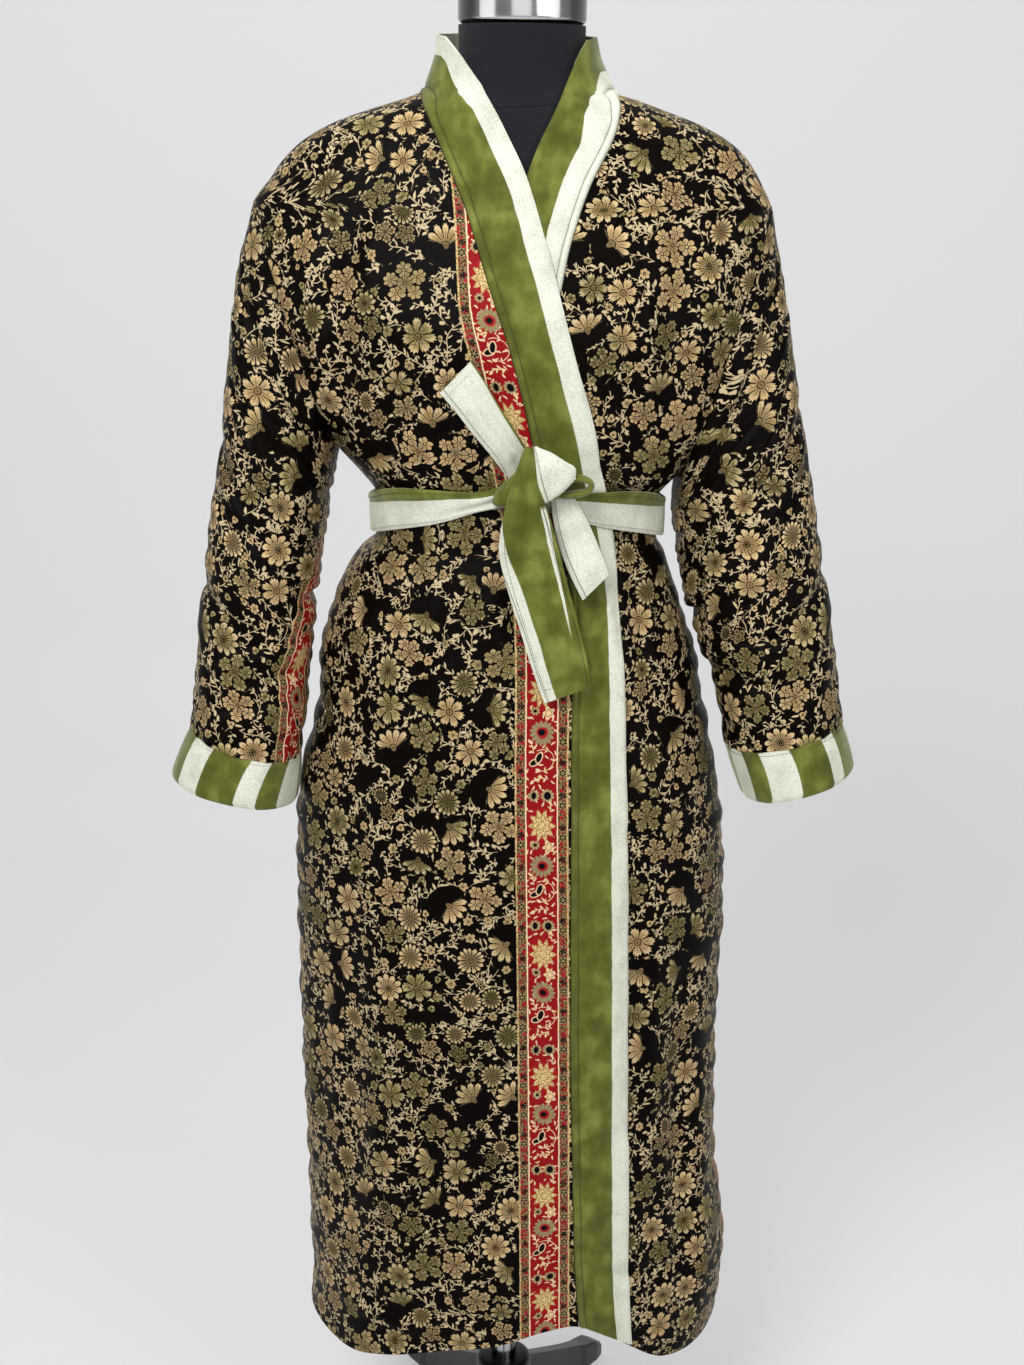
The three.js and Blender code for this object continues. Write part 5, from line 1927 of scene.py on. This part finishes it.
def jersey_cover():
    """The form's black knitted cover, with the seam round the foot of its neck."""
    material, tree, shader = new_material("form_jersey")
    x, y, z = apart(map_place(tree, "Object"))
    rib = sine(x * 5200) * sine(z * 6100 + sine(x * 2600) * 0.6)
    fuzz = noise(in_millimetres(x, y, z), 1.4, 2.0)
    seam = near(z * 1000 - 1413 - 2 * sine(x * 30), 0.5, 0.6)
    colour = tint("#0e1014", "#1b1e24", fuzz)
    colour = tint(colour, "#050607", seam)
    feed(colour, shader.inputs["Base Color"])
    feed(0.8 + 0.1 * fuzz, shader.inputs["Roughness"])
    shader.inputs["Specular IOR Level"].default_value = 0.15
    shader.inputs["Sheen Weight"].default_value = 0.08
    raise_by(tree, shader, rib * 0.3 + fuzz * 0.3 - seam * 1.5, 0.0006, 0.8)
    return material


def metal(name, dark, light, roughness, metallic, brushed):
    """Turned or painted metal with fine marks round it and slight smears; chrome also gets a
    painted darker reflection towards its rims.
    """
    material, tree, shader = new_material(name)
    x, y, z = apart(map_place(tree, "Object"))
    smear = noise(vector(x * 30, y * 30, z * 12), 1, 3.0)
    marks = noise(vector(x * 40, y * 40, z * 2600), 1, 1.0, 3.0)
    colour = tint(dark, light, smear)
    if metallic == 1.0:
        # Painted reflection: chrome turns a darker grey where its face turns away from the camera,
        # standing in for the dark reflections at its rims
        facing = tree.nodes.new("ShaderNodeLayerWeight").outputs["Facing"]
        colour = tint(colour, "#5c5e60", above(Number(facing), 0.34, 0.08))
    feed(colour, shader.inputs["Base Color"])
    feed(roughness + (smear - 0.5) * 0.12 + (marks - 0.5) * brushed, shader.inputs["Roughness"])
    shader.inputs["Metallic"].default_value = metallic
    raise_by(tree, shader, marks, 0.00006, brushed * 4)
    return material


nap_group = velvet_nap()


def band_right_green(tree, across, along):
    return stripe_edge(tree, across + near(along - 1251, 15, 15) * 13, 38.5)


def band_left_green(tree, across, along):
    drawn = near(along - 1271, 11, 11) * 9 - near(along - 1235, 14, 14) * 7
    return 1 - stripe_edge(tree, across + drawn, 24)


def belt_green(tree, across, along):
    return 1 - stripe_edge(tree, across, 31)


def long_end_green(tree, across, along):
    off = across - 53.1 + along * 0.045 + (noise(map_place(tree, "Object"), 0.02, 1.0) - 0.5) * 1.2
    line = near(off / (3.98 - along * 0.018), 0.85, 0.12) * above(along, 56, 3)
    line = line * below(along, 172, 14)
    return (1 - stripe_edge(tree, across, 14)) * (1 - line)


# Where each cuff's green stripes start and end, round its cut from the outer side
CUFF_STRIPES = {
    "right": (
        (-194, -162), (-140, -107), (-86, -54), (-32, 0),
        (12, 44), (72, 110), (131, 155), (190, 204),
    ),
    "left": (
        (-198, -168), (-144, -112), (-88, -56), (-32, 0),
        (22, 53), (69, 102), (132, 153), (178, 199),
    ),
}


def cuff_green(side):
    def green(tree, across, along):
        low, high = CUFF_STRIPES[side][0]
        share = near(across - (low + high) / 2, (high - low) / 2, 0.4)
        for low, high in CUFF_STRIPES[side][1:]:
            share = share + near(across - (low + high) / 2, (high - low) / 2, 0.4)
        return share

    return green


def all_green(tree, across, along):
    lowest = -500
    return above(across, lowest, 1)


sateen = sateen_cloth()
# The last numbers are the places across each velvet where painted shade darkens its seam and
# stitched groove
velvet_band_on_top = velvet("velvet_of_top_band", band_right_green, (0.3, 7.2))
velvet_band_beneath = velvet("velvet_of_band_beneath", band_left_green, (0.3, 7.2))
belt_seam_shade_insets = (BELT_STITCH_INSET, BELT_WIDTH - BELT_STITCH_INSET)
velvet_belt = velvet("velvet_of_belt", belt_green, belt_seam_shade_insets)
velvet_long_end = velvet("velvet_of_long_end", long_end_green, (BELT_STITCH_INSET, 50.5))
velvet_rolled = velvet("velvet_rolled_green", all_green)
velvet_cuffs = {
    "right": velvet("velvet_of_right_cuff", cuff_green("right")),
    "left": velvet("velvet_of_left_cuff", cuff_green("left")),
}
jersey = jersey_cover()
chrome = metal("polished_chrome", "#a9abad", "#d9dadb", 0.14, 1.0, 0.1)
black_metal = metal("black_painted_metal", "#0a0a0b", "#161617", 0.34, 0.0, 0.05)

# Stitches

STITCH_PITCH, STITCH_LENGTH, STITCH_THICKNESS = 3.1, 2.3, 0.5


def stitch_tree():
    """Geometry Nodes that lay a short thread at even steps along each line of a mesh."""
    tree = bpy.data.node_groups.new("stitches_along_lines", "GeometryNodeTree")
    sockets = {}
    tree.interface.new_socket("Geometry", in_out="INPUT", socket_type="NodeSocketGeometry")
    kinds = {"Pitch": "Float", "Length": "Float", "Thickness": "Float", "Thread": "Material"}
    for label, kind in kinds.items():
        made = tree.interface.new_socket(label, in_out="INPUT", socket_type="NodeSocket" + kind)
        sockets[label] = made.identifier
    tree.interface.new_socket("Geometry", in_out="OUTPUT", socket_type="NodeSocketGeometry")
    add, link = tree.nodes.new, tree.links.new
    source, sink = add("NodeGroupInput"), add("NodeGroupOutput")
    lines = add("GeometryNodeMeshToCurve")
    steps = add("GeometryNodeResampleCurve")
    steps.mode = "LENGTH"
    thread = add("GeometryNodeMeshCylinder")
    thread.inputs["Vertices"].default_value = 6
    half = add("ShaderNodeMath")
    half.operation = "MULTIPLY"
    half.inputs[1].default_value = 0.5
    turn = add("FunctionNodeAlignRotationToVector")
    turn.axis = "Z"
    copies = add("GeometryNodeInstanceOnPoints")
    real, painted = add("GeometryNodeRealizeInstances"), add("GeometryNodeSetMaterial")
    link(source.outputs["Geometry"], lines.inputs["Mesh"])
    link(lines.outputs["Curve"], steps.inputs["Curve"])
    link(source.outputs["Pitch"], steps.inputs["Length"])
    link(source.outputs["Thickness"], half.inputs[0])
    link(half.outputs[0], thread.inputs["Radius"])
    link(source.outputs["Length"], thread.inputs["Depth"])
    link(add("GeometryNodeInputTangent").outputs[0], turn.inputs["Vector"])
    link(steps.outputs["Curve"], copies.inputs["Points"])
    link(thread.outputs["Mesh"], copies.inputs["Instance"])
    link(turn.outputs[0], copies.inputs["Rotation"])
    link(copies.outputs[0], real.inputs[0])
    link(real.outputs[0], painted.inputs["Geometry"])
    link(source.outputs["Thread"], painted.inputs["Material"])
    link(painted.outputs[0], sink.inputs[0])
    return tree, sockets


def line_along(grid, share, lift=0.12):
    """A line up a grid at a share of its width, just proud of its face."""
    at = share * (grid.shape[1] - 1)
    i = min(int(at), grid.shape[1] - 2)
    normals = grid_normals(grid, False)
    points = mix(grid[:, i], grid[:, i + 1], at - i)
    return points + normals[:, i] * lift


def line_across(grid, share, lift=0.12):
    return line_along(grid.transpose(1, 0, 2), share, -lift)


def stitches(name, lines, slot, thread):
    """One mesh of the stitches along all the lines."""
    points, edges = [], []
    for line in lines:
        start = len(points)
        points += to_frame(line).tolist()
        edges += [(k, k + 1) for k in range(start, len(points) - 1)]
    mesh = bpy.data.meshes.new(name + "_lines")
    mesh.from_pydata(points, edges, [])
    guide = bpy.data.objects.new(name + "_lines", mesh)
    bpy.context.scene.collection.objects.link(guide)
    layer = guide.modifiers.new("stitches", "NODES")
    layer.node_group = stitching
    layer[stitch_inputs["Pitch"]] = STITCH_PITCH * MM
    layer[stitch_inputs["Length"]] = STITCH_LENGTH * MM
    layer[stitch_inputs["Thickness"]] = STITCH_THICKNESS * MM
    layer[stitch_inputs["Thread"]] = thread
    graph = bpy.context.evaluated_depsgraph_get()
    made = bpy.data.meshes.new_from_object(guide.evaluated_get(graph))
    bpy.data.objects.remove(guide)
    made.polygons.foreach_set("use_smooth", [True] * len(made.polygons))
    piece = bpy.data.objects.new(name, made)
    bpy.context.scene.collection.objects.link(piece)
    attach(piece, "root")


def sewing_thread(name, dark, light):
    material, tree, shader = new_material(name)
    x, y, z = apart(map_place(tree, "Object"))
    ply = sine(x * 5200 + y * 5200 + z * 7400)
    fuzz = noise(in_millimetres(x, y, z), 0.8, 2.0)
    feed(tint(dark, light, fuzz), shader.inputs["Base Color"])
    feed(0.62 + 0.1 * fuzz, shader.inputs["Roughness"])
    raise_by(tree, shader, ply, 0.0001, 0.6)
    return material


stitching, stitch_inputs = stitch_tree()
green_thread = sewing_thread("green_thread", "#4a4d1c", "#6d7033")
pale_thread = sewing_thread("pale_thread", "#b4b6a2", "#d3d4c4")

# The pieces


def place(piece, node, slot, material):
    piece.data.materials.append(material)
    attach(piece, "root")
    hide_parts(node)


def cloth(made, node, slot, material):
    """Places a piece of cloth and works out its cut's size: its widest run across, its longest rise
    and its area, which nothing further uses.
    """
    piece, face = made
    place(piece, node, slot, material)
    width = float(run_lengths(face)[:, -1].max()) * MM
    rise = float(max(rise_lengths(face, i)[-1] for i in range(0, face.shape[1], 4))) * MM
    area = min(area_of(face), width * rise)
    return face


cloth(front_right(), "gown_front_right", "sateen", sateen)
cloth(front_left(), "gown_front_left", "sateen", sateen)
cloth(back(), "gown_back", "sateen", sateen)
for side in ("right", "left"):
    cloth(sleeve(side), f"gown_sleeve_{side}", "sateen", sateen)
    velvet_cuff = velvet_cuffs[side]
    face = cloth(
        cuff(side), f"gown_cuff_{side}", "velvet_green", velvet_cuff
    )
    stitches(f"stitches_cuff_{side}", [line_across(face, 0.04)], "velvet_green", green_thread)
seam_lines = [inset / BAND_WIDTH for inset in (1.5, STITCH_INSET)]
made = band("velvet_band_right", BAND_RIGHT, -1, HEM_TOP, top_lift, roll_on_top)
face = cloth(made, "gown_band_right", "velvet_green", velvet_band_on_top)
lines = [line_along(face, share) for share in seam_lines]
stitches("stitches_band_right", lines, "velvet_green", green_thread)
made = band("velvet_band_left", BAND_LEFT, 1, HEM_BENEATH, no_lift, roll_beneath)
face = cloth(made, "gown_band_left", "velvet_green", velvet_band_beneath)
lines = [line_along(face, 1 - share) for share in seam_lines]
stitches("stitches_band_left", lines, "velvet_pale", pale_thread)
face = cloth(belt_waist(), "belt_waist", "velvet_pale", velvet_belt)
edge_inset = BELT_STITCH_INSET / BELT_WIDTH
stitches("stitches_belt_low", [line_across(face, edge_inset)], "velvet_pale", pale_thread)
stitches("stitches_belt_top", [line_across(face, 1 - edge_inset)], "velvet_green", green_thread)
for name, node, slot, material, thread in (
    ("end_upper", "belt_end_upper", "velvet_pale", velvet_belt, pale_thread),
    ("end_long", "belt_end_long", "velvet_green", velvet_long_end, green_thread),
    ("end_short", "belt_end_short", "velvet_pale", velvet_belt, pale_thread),
    ("flap", "belt_flap", "velvet_pale", velvet_belt, pale_thread),
):
    face = cloth(ribbon(name), node, slot, material)
    rows = [line_along(face, 0.1), line_along(face, 0.9)]
    if RIBBON_ENDS_FREE[name][0]:
        rows.append(line_across(face[:, 2:-2], 0.06))
    if RIBBON_ENDS_FREE[name][1]:
        rows.append(line_across(face[:, 2:-2], 0.95))
    stitches(f"stitches_{name}", rows, slot, thread)
place(roll("velvet_belt_knot", KNOT, 3, 2.0, 0.1), "belt_knot", "velvet_green", velvet_rolled)
place(loop("velvet_belt_loop", LOOP), "belt_loop", "velvet_green", velvet_rolled)

place(form(), "form_torso", "form_cover", jersey)
cap = turned_bar("form_neck_cap", 57.6, 1484, 1520, 5)
place(cap, "form_cap", "chrome", chrome)
pole = turned_bar("stand_pole_bar", 13.5, 40, 811.65, 1)
place(pole, "stand_pole", "chrome", chrome)
collar = turned_bar("stand_collar", 30, 44, 102, 6)
place(collar, "stand_hub", "black_metal", black_metal)
for obj in bpy.data.objects:
    if obj.name.startswith("stand_leg"):
        obj.data.materials.clear()
        obj.data.materials.append(black_metal)

# Floor, backdrop, light and camera

# How much the backdrop reflects and gives off, and the air's light as seen and as it falls
PAPER_COLOUR = (0.34, 0.34, 0.345, 1)
PAPER_GLOW = 0.36
AIR_SEEN, AIR_LIGHT = 0.66, 0.24
WHITE = (1, 1, 1, 1)
# What the lights are turned to, in metres
CHEST, BELT, SKIRT, CARDS = (0, 0, 1.1), (0, 0, 1.0), (0, 0, 0.8), (0, 0, 1.5)


def backdrop():
    """A pale floor that curves up into a wall behind the object."""
    depth = [-9.0, -3.0, 0.6, 1.2, 1.6, 1.85, 1.97, 2.0, 2.0]
    height = [0, 0, 0, 0, 0.04, 0.15, 0.4, 0.8, 4.0]
    points, faces = [], []
    for y, z in zip(depth, height):
        points += [(-9, y, z), (9, y, z)]
    for k in range(len(depth) - 1):
        faces.append((2 * k, 2 * k + 1, 2 * k + 3, 2 * k + 2))
    mesh = bpy.data.meshes.new("pale_floor")
    mesh.from_pydata(points, [], faces)
    mesh.polygons.foreach_set("use_smooth", [True] * len(mesh.polygons))
    floor = bpy.data.objects.new("pale_floor", mesh)
    bpy.context.scene.collection.objects.link(floor)
    paper, tree, shader = new_material("pale_paper")
    shader.inputs["Base Color"].default_value = PAPER_COLOUR
    shader.inputs["Emission Color"].default_value = WHITE
    shader.inputs["Emission Strength"].default_value = PAPER_GLOW
    shader.inputs["Roughness"].default_value = 0.9
    clear = tree.nodes.new("ShaderNodeBsdfTransparent")
    share = tree.nodes.new("ShaderNodeMixShader")
    tree.links.new(tree.nodes.new("ShaderNodeNewGeometry").outputs["Backfacing"], share.inputs[0])
    tree.links.new(shader.outputs[0], share.inputs[1])
    tree.links.new(clear.outputs[0], share.inputs[2])
    tree.links.new(share.outputs[0], tree.nodes["Material Output"].inputs["Surface"])
    floor.data.materials.append(paper)


def area_light(name, place, towards, size, watts):
    data = bpy.data.lights.new(name, "AREA")
    data.shape = "RECTANGLE"
    data.size, data.size_y = size
    data.energy = watts
    lamp = bpy.data.objects.new(name, data)
    lamp.location = place
    lamp.rotation_euler = (Vector(towards) - Vector(place)).to_track_quat("-Z", "Y").to_euler()
    bpy.context.scene.collection.objects.link(lamp)


bpy.context.scene.view_settings.view_transform = "Standard"
backdrop()
area_light("key", (-1.0, -2.3, 2.9), CHEST, (1.2, 1.0), 96)
area_light("fill", (1.9, -2.2, 1.9), BELT, (1.4, 1.4), 34)
area_light("overhead", (0, 0.2, 3.2), SKIRT, (2.2, 1.4), 34)
for name, at, size, watts in (
    # Cards that only the shiny surfaces see
    ("card_left", (-2.05, -0.95, 1.7), (1.3, 2.2), 11),
    ("card_behind_camera", (-0.1, -4.2, 1.7), (2.6, 2.0), 15),
    ("card_right", (2.0, -1.1, 1.7), (0.6, 2.2), 6),
):
    area_light(name, at, CARDS, size, watts)
    card = bpy.data.objects[name]
    card.visible_camera = card.visible_diffuse = False
    card.visible_transmission = card.visible_volume_scatter = False
world = bpy.data.worlds.new("soft_room")
world.use_nodes = True
tree = world.node_tree
seen = tree.nodes.new("ShaderNodeLightPath").outputs["Is Camera Ray"]
feed(blend(AIR_LIGHT, AIR_SEEN, Number(seen)), tree.nodes["Background"].inputs["Strength"])
tree.nodes["Background"].inputs["Color"].default_value = WHITE
bpy.context.scene.world = world

camera = bpy.data.objects.new("camera", bpy.data.cameras.new("camera"))
camera.data.sensor_fit = "VERTICAL"
camera.data.sensor_height = SENSOR
camera.data.lens = FOCAL_PIXELS / PHOTO_HEIGHT * SENSOR
look = math.radians(CAMERA_DOWN)
tilt = Matrix.Rotation(math.pi / 2 - look, 4, "X") @ Matrix.Rotation(CAMERA_ROLL, 4, "Z")
camera.matrix_world = Matrix.Translation(Vector(to_frame(CAMERA_PLACE))) @ tilt
bpy.context.scene.collection.objects.link(camera)
bpy.context.scene.camera = camera
